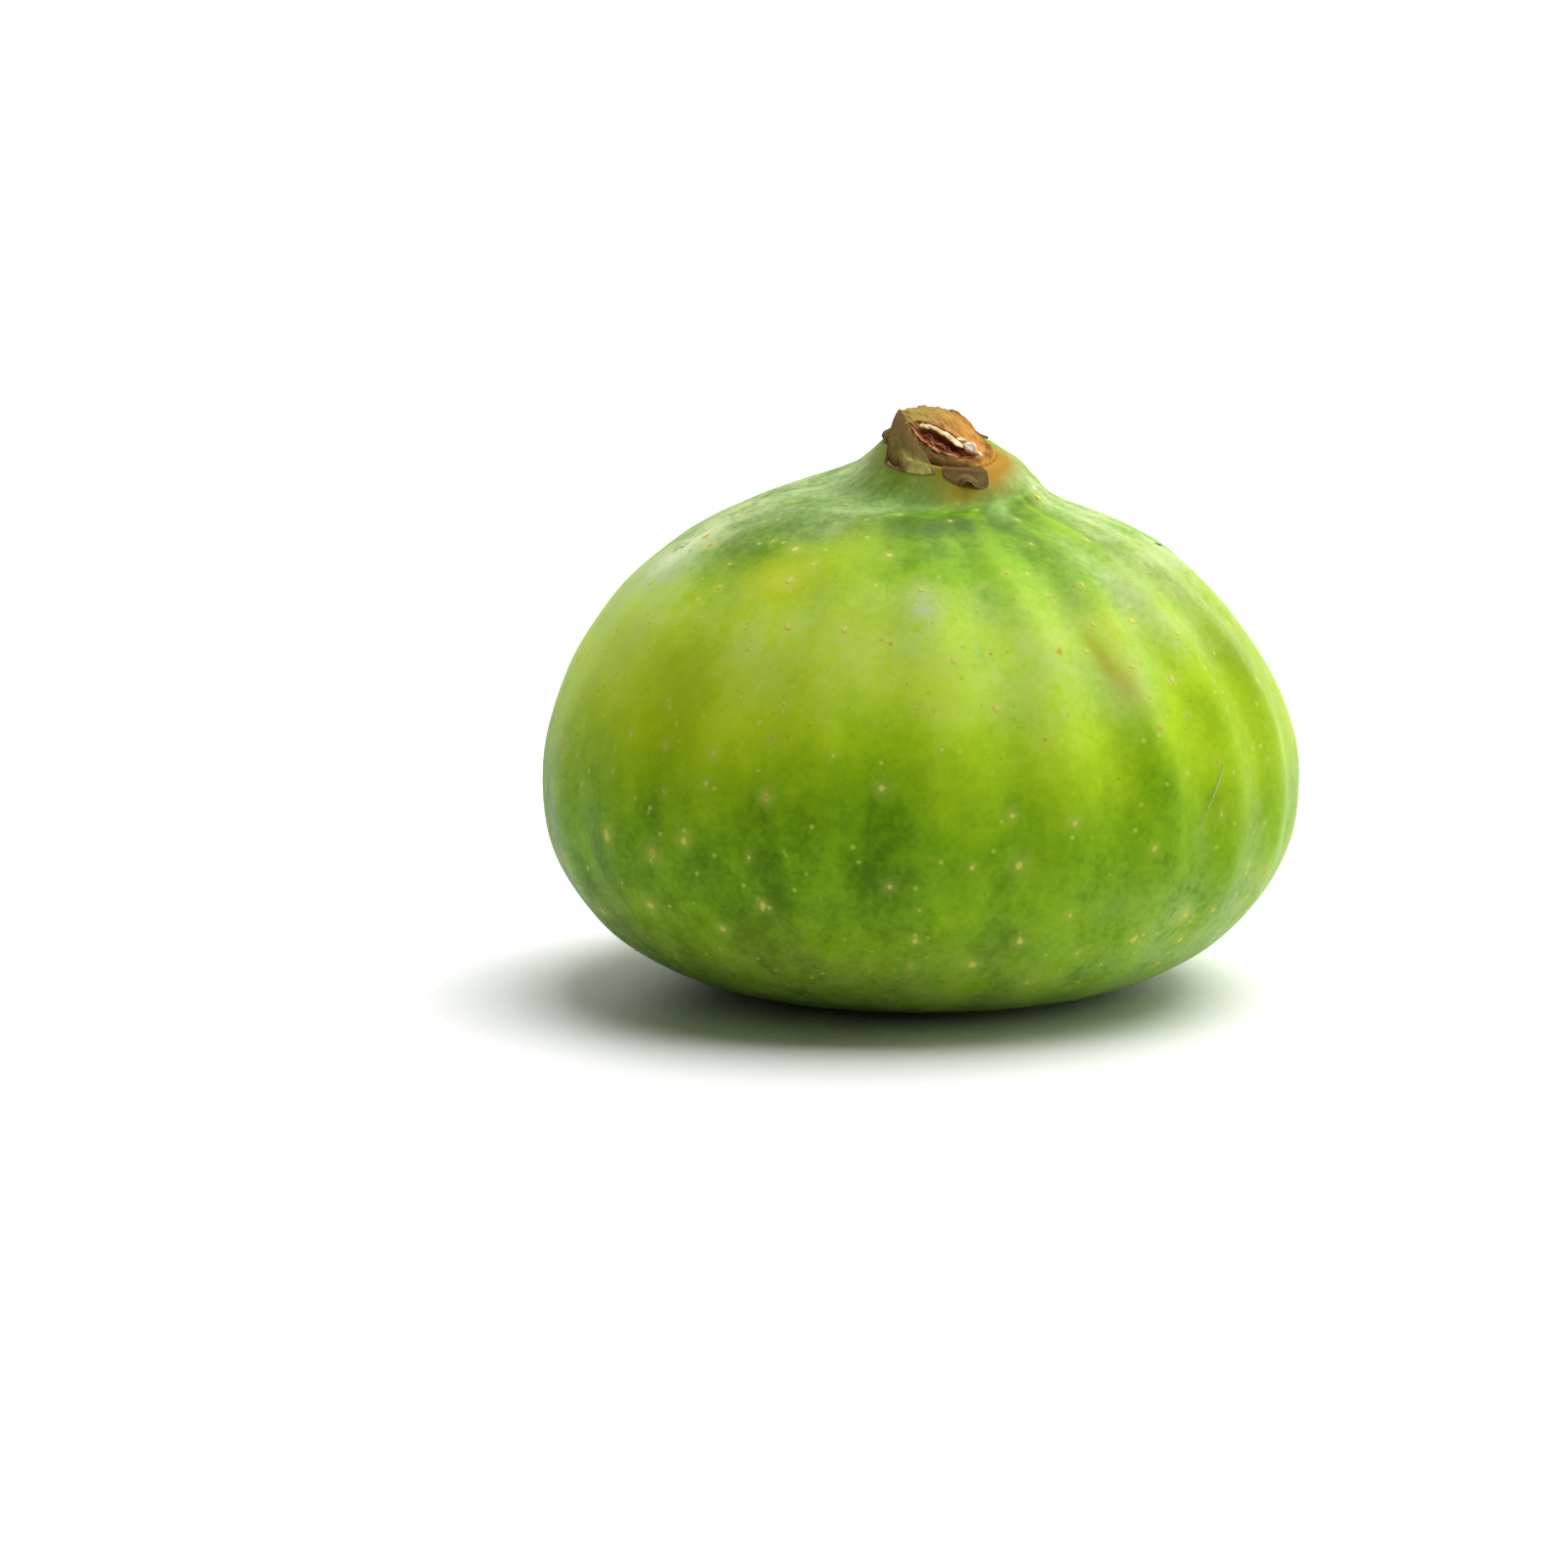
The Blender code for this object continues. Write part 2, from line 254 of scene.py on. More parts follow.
def scattered_pores():
    """Azimuth and place along of pores, spread evenly by area and none nearer than the spacing."""
    by_area = np.cumsum(outline[:, 0] * np.gradient(row_place))
    tries = np.interp(draw.uniform(0, by_area[-1], PORE_TRIES), by_area, row_place)
    turns = draw.uniform(-math.pi, math.pi, PORE_TRIES)
    heights = np.interp(tries, row_place, outline[:, 1])
    open_skin = (heights > PORE_LOWEST) & (heights < PORE_HIGHEST)
    tries, turns = tries[open_skin], turns[open_skin]
    places = skin_place(turns, tries) / MM
    kept = []
    for number, place in enumerate(places):
        if len(kept) < PORES and (np.linalg.norm(places[kept] - place, axis=1) > PORE_SPACING).all():
            kept.append(number)
    return turns[kept], tries[kept]


pore_azimuth, pore_along = scattered_pores()
pore_place = skin_place(pore_azimuth, pore_along)
pore_radius = PORE_SMALLEST + PORE_RANGE * draw.uniform(0, 1, len(pore_place)) ** 2
print(len(pore_place), "pores, radius", pore_radius.min().round(2), "to", pore_radius.max().round(2), "mm")

# %% Patches of colour on the skin
# The green runs from deep, 0, to pale, 1, by height; its deeper base is partly the skin's own
# green and partly painted shade. The wax runs from bare to thick by height, on the sunny front and on
# the other sides. Across the front of the shoulder it is partly bloom and partly a painted highlight,
# and a painted sheen is added to it along the edges seen from the front. Each patch is (azimuth in
# degrees, height in mm, half spread in degrees, half spread in mm, amount).
TONE_BY_HEIGHT = (
    (0, 8, 14, 18, 21, 24, 27, 31, 33, 36, 38),
    (0.15, 0.18, 0.25, 0.38, 0.55, 0.75, 0.85, 0.84, 0.62, 0.14, 0.0),
)
FRONT_WAX = (
    (0, 5, 8, 15, 24, 28, 31, 34, 36, 40.5, 42),
    (0.16, 0.12, 0.04, 0.0, 0.0, 0.13, 0.2, 0.10, 0.0, 0.05, 0.12),
)
SIDE_WAX = ((0, 4, 8, 12, 20, 26, 30, 34, 40), (0.4, 0.4, 0.3, 0.12, 0.08, 0.13, 0.25, 0.34, 0.34))
FRONT = math.radians(-97)
# The broad deep patches at -24 and -20 degrees on the upper right are painted shade; the rest are the skin's
# own deeper green.
DEEP_PATCHES = (
    (-82, 18, 8, 4, 0.12), (-108, 15, 18, 6, 0.19), (-52, 19, 5, 7, 0.37),
    (-38, 15, 3, 6, 0.22), (-38, 24, 3.5, 3, 0.22), (-66, 15, 9, 4, 0.07),
    (-52, 35, 5, 2.5, 0.25), (-46, 33, 3, 2, 0.20), (-32, 35.5, 4, 2, 0.20),
    (-24, 31, 4, 4.5, 0.20), (-134, 28, 10, 5.5, 0.42), (-101, 21.5, 8, 4, 0.24),
    (-87, 27.3, 8, 2, -0.30), (-87, 32.7, 5, 2, -0.15), (-24, 27, 12, 7, 0.24),
    (-20, 28, 7, 4, 0.20), (-110, 36.3, 14, 1.8, -0.30), (-66, 29, 12, 5, -0.12),
    (150, 15, 25, 6, 0.30), (60, 20, 18, 6, 0.25),
)
YELLOW_PATCHES = (
    (-121, 34.4, 9, 1.6, 0.9), (-134, 27, 26, 7, 0.55), (-100, 31, 12, 4, 0.35),
    (-112, 5, 45, 5, 0.22), (-52, 30, 3, 3, 0.55), (-24, 28, 22, 10, 0.45),
    (-109, 36.5, 9, 1.6, 0.35), (35, 27, 20, 7, 0.5),
)
# The patch at -163 degrees, on the left edge of the shoulder, is a painted sheen, and the one at -88 degrees
# on the front of the shoulder is partly a painted highlight; the rest are the wax bloom.
WAX_AND_SHEEN_PATCHES = (
    (-88, 33, 3.5, 1.7, 0.50), (-128, 39, 26, 2, 0.35), (-163, 35, 11, 3, 1.00),
    (-84, 36.8, 16, 2.2, -0.22), (-40, 38.5, 12, 1.6, -0.50), (-29, 22, 15, 9, -0.34),
    (-50, 8, 12, 4, 0.15), (-13, 40.3, 4, 0.5, 0.80), (-43, 35, 4, 3, 0.30),
    (-37, 31, 4, 3, 0.28), (-30, 28, 4, 3, 0.20), (-54, 26.5, 6, 3, 0.20),
    (-70, 28, 10, 4, 0.15), (-52, 39.1, 8, 1.5, 0.35), (-72, 38.6, 12, 1.4, -0.20),
    (-30, 14, 4, 7, 0.25), (-44, 13, 2.5, 7, 0.12), (-24, 33.9, 6, 2.2, 0.25),
    (-134, 29.2, 8, 3, -0.12),
)
# Painted shade: a dark band across the front of the neck under the bracts, and two patches on the right side.
PAINTED_SHADE_PATCHES = ((-82, 38.2, 30, 1.1, 0.50), (-20, 27.5, 9, 5.0, 0.18), (-35, 15.0, 5, 5.0, 0.14))
SCAR_PATCHES = ((-57.5, 30.3, 1.2, 1.2, 0.5), (-56.5, 28.8, 1.6, 1.4, 0.8), (-54.5, 27.0, 2.6, 1.5, 0.8))
ORANGE_PATCHES = ((-25, 42.7, 34, 0.5, 1.6), (-48, 42.2, 11, 0.7, 0.8))
OCHRE_PATCHES = ((-77, 41.6, 17, 0.9, 1.2), (-97, 42.7, 11, 0.5, 1.1))


def patches(azimuth, height, spots):
    """The sum of the patches at each point: each is a bell across and a bell up, times its amount."""
    total = np.zeros(np.broadcast(azimuth, height).shape)
    for middle, level, wide, tall, amount in spots:
        across = turn_between(azimuth, math.radians(middle)) / math.radians(wide)
        total += amount * np.exp(-(across**2)) * bump(height, level, tall)
    return total


RIGHT_PALER, RIGHT_DEEPER, RIGHT_MIDDLE = 0.14, 0.36, 0.35
BACK_WANDER, BACK_EVENNESS, MIDDLE_TONE = 3.2, 0.45, 0.42
TONE_BACK, WAX_BACK, WAX_SIDE, PAINTED_SHEEN_EDGE = np.radians(((85, 125), (95, 130), (38, 75), (66, 92)))


def skin_tone(azimuth, height):
    """How pale the green is: by height, paler low down on the right, and deep in a few patches, some of them
    painted shade.

    Behind, the heights wander up and down by three sine waves, and the tone is drawn to the middle.
    """
    high = rise(height, 19, 28) * (1 - rise(height, 32, 36))
    right_side = np.cos(azimuth + RIGHT_MIDDLE) * (RIGHT_PALER - RIGHT_DEEPER * high)
    behind = rise(np.abs(turn_between(azimuth, FRONT)), *TONE_BACK)
    waves = np.sin(2 * azimuth + 0.6) + 0.7 * np.sin(5 * azimuth) + 0.5 * np.sin(11 * azimuth + 2)
    by_height = np.interp(height + BACK_WANDER * behind * waves, *TONE_BY_HEIGHT)
    by_height = by_height + BACK_EVENNESS * behind * (MIDDLE_TONE - by_height)
    return by_height + right_side * (1 - 0.5 * behind) - patches(azimuth, height, DEEP_PATCHES)


def skin_wax(azimuth, height):
    """How thick the wax is, with painted light in it: little on the front, more on the other sides and round
    the neck, partly a painted highlight across the front of the shoulder, and a painted sheen along the edges
    seen from the front.
    """
    off_front = np.abs(turn_between(azimuth, FRONT))
    behind = rise(off_front, *WAX_BACK)
    away = rise(off_front, *WAX_SIDE) * (1 - 0.65 * behind)
    front, side = np.interp(height, *FRONT_WAX), np.interp(height, *SIDE_WAX)
    # Painted sheen: more wax along the edges seen from the front, where the skin turns edge on.
    painted_edge_sheen = 0.25 * rise(off_front, *PAINTED_SHEEN_EDGE) * (1 - behind)
    return front + (side - front) * away + painted_edge_sheen + patches(azimuth, height, WAX_AND_SHEEN_PATCHES)


print(len(DEEP_PATCHES), "deep,", len(YELLOW_PATCHES), "yellow and", len(WAX_AND_SHEEN_PATCHES), "wax patches")

# %% The skin's mesh
SKIN_COLUMNS = 480
HALO_REACH, OLIVE_RING = 2.2, (4.6, 7.2)
azimuth = np.linspace(-math.pi, math.pi, SKIN_COLUMNS, endpoint=False)[None, :]
along = row_place[:, None]
skin_grid = skin_place(azimuth, along)
whole = np.ones((len(row_place), SKIN_COLUMNS))
radius_out = outline[:, :1] * whole
height_up = outline[:, 1:] * whole

halo = 0 * whole
for place, radius in zip(pore_place, pore_radius):
    far = np.linalg.norm(skin_grid - place, axis=-1) / MM
    halo = np.maximum(halo, np.exp(-((far / (HALO_REACH * radius)) ** 2)))

olive = (1 - rise(radius_out, *OLIVE_RING)) * (height_up > SHOULDER)
painted = {"yellow": YELLOW_PATCHES, "shade": PAINTED_SHADE_PATCHES, "scar": SCAR_PATCHES}
painted |= {"orange": ORANGE_PATCHES, "stain": OCHRE_PATCHES}
spread_out = 0.3 + 0.7 * radius_out / BODY_RADIUS
skin = closed_skin(
    "fig_skin",
    skin_grid,
    meridian=np.stack([np.cos(azimuth) * spread_out, np.sin(azimuth) * spread_out, along * whole], axis=-1),
    rib=rib_wave(azimuth) * whole,
    halo=halo,
    tone=skin_tone(azimuth, height_up),
    wax=skin_wax(azimuth, height_up),
    olive=olive,
    **{name: patches(azimuth, height_up, spots) for name, spots in painted.items()},
)
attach(skin, "root")
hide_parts("fruit")

# %% The raised pores
PORE_COLUMNS = 8
PORE_RINGS = np.array([0.001, 0.45, 0.75, 1.0])[:, None]
PORE_PROFILE = np.array([0.02, 0.03, 0.02, -0.03])[:, None]
OPEN_PORES = 0.22


def pore_domes():
    """Each pore is a low ring of cork: rings of points round its middle, lifted off the skin."""
    east = skin_place(pore_azimuth + 0.002, pore_along) - pore_place
    north = skin_place(pore_azimuth, pore_along + 0.001) - pore_place
    out = np.cross(east, north)
    east, north, out = (way / np.linalg.norm(way, axis=-1, keepdims=True) for way in (east, north, out))
    turn = np.linspace(0, TURN, PORE_COLUMNS, endpoint=False)
    long = draw.uniform(0.9, 1.5, len(pore_place))[:, None, None]
    ragged = 1 + 0.15 * draw.normal(size=(len(pore_place), 1, PORE_COLUMNS))
    reach = PORE_RINGS * ragged * pore_radius[:, None, None]
    sideways = (reach * np.cos(turn))[..., None] * east[:, None, None, :]
    upward = (reach * long * np.sin(turn))[..., None] * north[:, None, None, :]
    lifted = (PORE_PROFILE + 0 * reach)[..., None] * out[:, None, None, :]
    return pore_place[:, None, None, :] + (sideways + upward + lifted) * MM


dome_grid = pore_domes()
one_dome = np.arange(len(PORE_RINGS) * PORE_COLUMNS).reshape(-1, PORE_COLUMNS)
dome_quads = np.array(quads(np.hstack([one_dome, one_dome[:, :1]])[::-1]))
dome_faces = (dome_quads + np.arange(len(dome_grid))[:, None, None] * one_dome.size).reshape(-1, 4)
has_core = (draw.uniform(0, 1, len(dome_grid)) < OPEN_PORES)[:, None, None]
core = has_core * (1 - PORE_RINGS) * np.ones(PORE_COLUMNS)
skirt = PORE_RINGS**2 * np.ones((len(dome_grid), 1, PORE_COLUMNS))
pore_values = {"core": core.reshape(-1, 1), "skirt": skirt.reshape(-1, 1)}
pores = mesh_object("pores", dome_grid, dome_faces.tolist(), **pore_values)
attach(pores, "root")

# %% [markdown]
# ## The cut stalk
# The stalk was snapped off on a slope, so its cut faces the front right, with the torn pith lying
# open across it. A Boolean cut would leave a sharp flat face, so the stub is one closed skin: one
# pole is inside the fruit, rows climb its side, go over the rim and close on the cut, and the
# wound is sunk into those rows.

# %% Places on the stalk's seat
STALK_RADIUS, RIM_RADIUS = 3.8, 3.55
STALK_LEAN_LEFT = 0.2
CUT_MIDDLE, CUT_SLOPE, CUT_FACES = 1.15, 0.50, math.radians(-45)
CUT_TOP, CUT_FOOT, CUT_SOFTNESS = 1.95, 0.45, 0.2
FACET_LEVEL, FACET_RIGHT, FACET_BACK = 2.7, 0.426, 0.56
WOUND_MIDDLE, WOUND_TURN = (0.0, -1.3), math.radians(-25)
WOUND_HALF_LENGTH, WOUND_BELOW, WOUND_ABOVE, WOUND_DEPTH = 2.6, 1.25, 2.15, 0.7


def on_seat(x, y, height):
    """Points in metres from places on the stalk's seat in millimetres."""
    return leaned(x - STALK_LEAN_LEFT * np.maximum(height, 0), y, SEAT + height, 1)


def soft_min(a, b, softness):
    """The lower of two values, with the corner between them rounded."""
    return -softness * np.logaddexp(-a / softness, -b / softness)


def slope_height(x, y):
    """The cut as a slope down to the front right, between a level top and foot, less its left corner."""
    slope = CUT_MIDDLE - CUT_SLOPE * (x * math.cos(CUT_FACES) + y * math.sin(CUT_FACES))
    corner = FACET_LEVEL + FACET_RIGHT * x + FACET_BACK * y
    top = soft_min(slope, soft_min(CUT_TOP, corner, CUT_SOFTNESS), CUT_SOFTNESS)
    return -soft_min(-top, -CUT_FOOT, CUT_SOFTNESS)


def wound_frame(x, y):
    """Places along and across the torn pith, as shares of its half length and its width that way."""
    dx, dy = x - WOUND_MIDDLE[0], y - WOUND_MIDDLE[1]
    lengthwise = dx * math.cos(WOUND_TURN) + dy * math.sin(WOUND_TURN)
    across = dy * math.cos(WOUND_TURN) - dx * math.sin(WOUND_TURN)
    return lengthwise / WOUND_HALF_LENGTH, across / np.where(across > 0, WOUND_ABOVE, WOUND_BELOW)


def wound_share(x, y):
    """1 deep in the torn pith and 0 outside it, with a ragged edge."""
    lengthwise, across = wound_frame(x, y)
    ragged = 0.08 * np.sin(9 * lengthwise + 2) + 0.05 * np.sin(23 * lengthwise)
    return 1 - rise(lengthwise**2 + (across + ragged) ** 2, 0.55, 1.05)


cut_ends = slope_height(np.array([-2.5, 2.5]), np.array([2.5, -2.5]))
print("the cut falls from", cut_ends[0].round(2), "to", cut_ends[1].round(2), "mm over the seat")

# %% The stub
STUB_COLUMNS = 260
STUB_BOTTOM, STUB_FLARE = -0.9, 0.35
KNOB_AZIMUTH, KNOB_SPREAD, KNOB_LEVEL, KNOB_OUT = math.radians(178), math.radians(19), 0.35, 0.8
BACK_RIM, BACK_SPREAD = math.radians(62), math.radians(24)
stub_azimuth = np.linspace(-math.pi, math.pi, STUB_COLUMNS, endpoint=False)[None, :]
side_share = np.linspace(0, 1, 36)[:, None]
cut_share = np.linspace(1, 0, 62)[1:, None]

rim_ragged = 0.07 * np.sin(7 * stub_azimuth + 1) + 0.05 * np.sin(17 * stub_azimuth)
rim_ragged += 0.03 * np.sin(41 * stub_azimuth)
rim_ragged += 0.25 * np.exp(-((turn_between(stub_azimuth, BACK_RIM) / BACK_SPREAD) ** 2))
rim_height = slope_height(RIM_RADIUS * np.cos(stub_azimuth), RIM_RADIUS * np.sin(stub_azimuth)) - 0.1
rim_height += rim_ragged
side_height = STUB_BOTTOM + (rim_height - STUB_BOTTOM) * side_share
side_radius = STALK_RADIUS - (STALK_RADIUS - RIM_RADIUS) * side_share**3 + 0 * stub_azimuth
side_radius += STUB_FLARE * bump(side_height, 0.1, 0.45)
ridges = 0.05 * np.cos(38 * stub_azimuth + 3 * np.sin(2 * stub_azimuth)) * rise(side_share, 0.2, 0.6)
side_radius += ridges * (1 - side_share**4)
knob_side = np.exp(-((turn_between(stub_azimuth, KNOB_AZIMUTH) / KNOB_SPREAD) ** 2))
side_radius += KNOB_OUT * knob_side * bump(side_height, KNOB_LEVEL, 0.5)

cut_radius = RIM_RADIUS * cut_share + 0 * stub_azimuth
cut_x, cut_y = cut_radius * np.cos(stub_azimuth), cut_radius * np.sin(stub_azimuth)
wound = wound_share(cut_x, cut_y)
wound_long, wound_across = wound_frame(cut_x, cut_y)
fibres = 0.08 * np.sin(22 * wound_across + 5 * wound_long) + 0.06 * np.sin(15 * wound_long + 9 * wound_across)
# Painted shade: the cut just in front of the wound is marked to be darkened.
shade_before_wound = rise(-wound_across, 0.9, 1.1) * (1 - rise(wound_long, 0.75, 1.15))
cut_height = slope_height(cut_x, cut_y) + (rim_ragged - 0.1) * cut_share**8
cut_place = np.stack([cut_x, cut_y], axis=-1)
cut_height += 0.09 * soft_noise(cut_place, 1.6, 21) * (1 - cut_share**6)
cut_height += 0.03 * soft_noise(cut_place, 0.5, 22)
cut_height += wound * (fibres - WOUND_DEPTH)

bottom = np.zeros((1, STUB_COLUMNS))
stub_x = np.vstack([bottom, side_radius * np.cos(stub_azimuth), cut_x])
stub_y = np.vstack([bottom, side_radius * np.sin(stub_azimuth), cut_y])
stub_height = np.vstack([bottom + STUB_BOTTOM, side_height, cut_height])
is_cut = np.vstack([bottom, rise(side_share, 0.9, 1) + 0 * stub_azimuth, 0 * cut_radius + 1])
in_wound = np.vstack([bottom, 0 * side_radius, wound])
patchy_rim = 0.65 + 0.35 * np.sin(4 * stub_azimuth + 1) * np.sin(9 * stub_azimuth)
near_rim = (rise(side_share, 0.8, 1) * patchy_rim, rise(cut_share, 0.88, 1) * patchy_rim)
rim_line = np.vstack([bottom, *near_rim])
# Painted shade: the side of the stub facing the front is marked to be darkened, and on the cut the mark
# before the wound is used.
front_shade = rise(-stub_y - 0.3 * stub_x, 2.2, 3.2)
front_shade[len(side_radius) + 1 :] = shade_before_wound
to_right = rise(stub_x - 0.35 * stub_y, -2.2, 1.8)
stub = closed_skin(
    "stalk_stub",
    on_seat(stub_x, stub_y, stub_height),
    cut=is_cut,
    wound=in_wound,
    right=to_right,
    front=front_shade,
    rim=rim_line,
)
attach(stub, "root")
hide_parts("stalk")

# %% [markdown]
# ## Bracts, pith and latex
# A bract is a thin dried scale. Cloth would fall too softly for it, so it is a sheet hung on
# sixteen points, four down and four across, with a Bezier curve between them both ways, and a few
# numbers give its curl. Solidify gives it its thickness. The pith and the lips of the wound are
# narrow tubes with a flat section, and the latex is three lumpy balls.

# %% Bract sheets
BRACT_ROWS, BRACT_COLUMNS = 34, 60
BRACT_THICKNESS, BRACT_GAP = 0.18, 0.08
ARCH_PLACE, ARCH_SPREAD = 0.52, 0.27
VEIN_STRETCH = 0.15


def neck_height(x, y):
    """Height of the fruit's neck over the seat's plane, at places round the stalk in millimetres."""
    out = np.hypot(x, y)
    inward = out - right_swell(np.arctan2(y, x), 41.5)
    level = np.interp(inward, outline[::-1, 0][14:90], outline[::-1, 1][14:90]) - SEAT
    return level - neck_hollow(np.arctan2(y, x), out)


def bract(name, hung, arch, ripples, green, seed):
    """A sheet whose points are four Bezier curves down, joined by Bezier curves across, plus ripples."""
    down = np.linspace(0, 1, BRACT_ROWS)
    over = np.linspace(0, 1, BRACT_COLUMNS)
    curves = np.stack([bezier(row, over) for row in hung])
    sheet = bezier(curves, down[:, None])
    x, y, height = sheet[..., 0], sheet[..., 1], sheet[..., 2]
    spread = np.stack([x, y], axis=-1)
    ripple = soft_noise(spread, 1.4, seed) * ripples + soft_noise(spread, 0.5, seed + 1) * 0.03
    height = height + arch * bump(over, ARCH_PLACE, ARCH_SPREAD) * down[:, None] ** 1.5
    height = height + ripple * rise(down, 0.3, 1)[:, None]
    height = height + 0.06 * soft_noise(over[:, None], 0.12, seed + 3) * (1 - rise(down, 0, 0.15))[:, None]
    height = np.maximum(height, neck_height(x, y) + BRACT_GAP)
    edge = down[:, None] + 0.02 * soft_noise(over[:, None], 0.3, seed + 2)[None, :]
    margin = 0.6 * rise(np.abs(2 * over - 1), 0.8, 0.98) * rise(down, 0.4, 0.9)[:, None]
    margin = margin + (1 - green) * (0.9 - 0.4 * rise(down, 0.3, 0.6))[:, None] * (1 - margin)
    pale = green * rise(over, 0.3, 0.7) * rise(down, 0.5, 0.8)[:, None] * (1 - margin)
    grid = on_seat(x, y, height)
    index = np.arange(x.size).reshape(x.shape)
    place = np.stack(np.broadcast_arrays(over, VEIN_STRETCH * down[:, None], 0 * edge), axis=-1)
    shares = {"edge": edge, "margin": margin, "pale": pale}
    values = {key: share.reshape(-1, 1) for key, share in shares.items()}
    made = mesh_object(name, grid, quads(index[::-1]), place=place, **values)
    wall = made.modifiers.new("thickness", "SOLIDIFY")
    wall.thickness = BRACT_THICKNESS * MM
    wall.offset = -1
    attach(made, "root")
    return made


LEFT_BRACT = (
    ((-3.1, 1.9, 1.95), (-2.8, 0.3, 1.9), (-2.65, -1.2, 1.45), (-1.4, -3.1, 0.45)),
    ((-3.8, 0.3, 1.7), (-3.2, -1.3, 1.4), (-2.6, -2.6, 1.0), (-1.3, -3.8, 0.35)),
    ((-4.5, -1.6, 0.5), (-3.9, -3.1, 0.3), (-2.5, -4.2, 0.15), (-1.1, -4.6, 0.1)),
    ((-4.7, -2.6, -0.9), (-3.9, -4.2, -0.95), (-2.2, -5.1, -0.95), (-0.75, -4.9, -0.35)),
)
RIGHT_BRACT = (
    ((-0.2, -3.6, 0.0), (0.8, -3.7, 0.0), (1.9, -3.2, 0.0), (2.6, -2.6, 0.0)),
    ((-0.3, -4.4, -0.2), (0.8, -4.7, -0.2), (2.1, -4.3, -0.2), (3.0, -3.4, -0.2)),
    ((-0.3, -5.0, -0.8), (0.9, -5.3, -0.7), (2.5, -5.0, -0.7), (3.5, -4.1, -0.7)),
    ((-0.1, -5.1, -1.3), (0.9, -5.6, -1.3), (2.6, -5.6, -1.4), (3.3, -4.8, -1.5)),
)
BACK_BRACT = (
    ((2.6, 2.5, 0.9), (1.0, 3.5, 1.2), (-0.7, 3.6, 1.4), (-2.3, 2.9, 1.5)),
    ((3.0, 2.9, 0.6), (1.1, 4.0, 0.8), (-0.8, 4.1, 0.9), (-2.6, 3.2, 0.9)),
    ((3.3, 3.2, 0.1), (1.2, 4.4, 0.2), (-0.9, 4.5, 0.2), (-2.9, 3.5, 0.1)),
    ((3.6, 3.6, -0.6), (1.3, 5.2, -0.6), (-1.0, 5.3, -0.6), (-3.2, 4.0, -0.6)),
)
bracts = [
    bract("bract_left", LEFT_BRACT, 0.0, 0.12, 1.0, 31),
    bract("bract_right", RIGHT_BRACT, 1.05, 0.05, 0.1, 41),
    bract("bract_back", BACK_BRACT, 0.25, 0.1, 0.5, 51),
]


# %% Tubes for the pith strip and the torn fibres
def tube(path, half_width, half_height, columns):
    """Rings round a path of (x, y, height): each is an ellipse across it, and both ends close."""
    ahead = np.gradient(path, axis=0)
    across = np.stack([-ahead[:, 1], ahead[:, 0], 0 * ahead[:, 0]], axis=-1)
    across /= np.linalg.norm(across, axis=1, keepdims=True)
    raised = np.cross(ahead / np.linalg.norm(ahead, axis=1, keepdims=True), across)
    turn = np.linspace(0, TURN, columns, endpoint=False)[None, :, None]
    wide = np.asarray(half_width)[:, None, None] * np.cos(turn) * across[:, None, :]
    tall = np.asarray(half_height)[:, None, None] * np.sin(turn) * raised[:, None, :]
    return path[:, None, :] + wide + tall


def cut_line(corners, lift, count):
    """A Bezier path over the cut from four (x, y) corners, lifted by so many millimetres."""
    flat = bezier(corners, np.linspace(0, 1, count))
    return np.column_stack([flat, slope_height(flat[:, 0], flat[:, 1]) + lift])


ROD_ROWS = 60


def rod_on_cut(name, corners, lift, half_width, half_height, uneven, seed):
    """A rod with a flat section that lies along the cut, tapered at both ends and uneven in width."""
    share = np.linspace(0, 1, ROD_ROWS)[:, None]
    path = cut_line(corners, lift, ROD_ROWS)
    path[:, 2] += 0.3 * half_height * soft_noise(share, 0.2, seed)
    taper = np.sqrt(np.clip(1 - (2 * share[:, 0] - 1) ** 6, 0, 1))
    wide = half_width * (1 + uneven * soft_noise(share, 0.25, seed + 1)) * (0.75 + 0.4 * share[:, 0]) * taper
    rings = tube(path, wide, half_height * taper, 20)
    made = closed_skin(name, on_seat(*np.moveaxis(rings, -1, 0)))
    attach(made, "root")
    return made


PITH_LINE = ((-1.65, -0.25), (-0.75, 0.5), (0.6, 0.35), (1.65, -0.8))
LOWER_LINE = ((-2.4, -0.1), (-2.0, -1.7), (-0.8, -2.9), (1.2, -2.75))
UPPER_LINE = ((-2.1, 0.15), (-0.8, 1.0), (1.1, 1.1), (2.1, -0.5))
pith = rod_on_cut("pith_strip", PITH_LINE, -0.05, 0.40, 0.14, 0.06, 61)
lower_lip = rod_on_cut("lower_lip", LOWER_LINE, 0.02, 0.15, 0.14, 0.3, 64)
upper_lip = rod_on_cut("upper_lip", UPPER_LINE, -0.05, 0.10, 0.07, 0.3, 67)

# %% Torn fibres in the wound
FIBRES, FIBRE_ROWS, FIBRE_COLUMNS = 16, 26, 8
FIBRE_HALF_WIDTH, FIBRE_HALF_HEIGHT = 0.09, 0.08


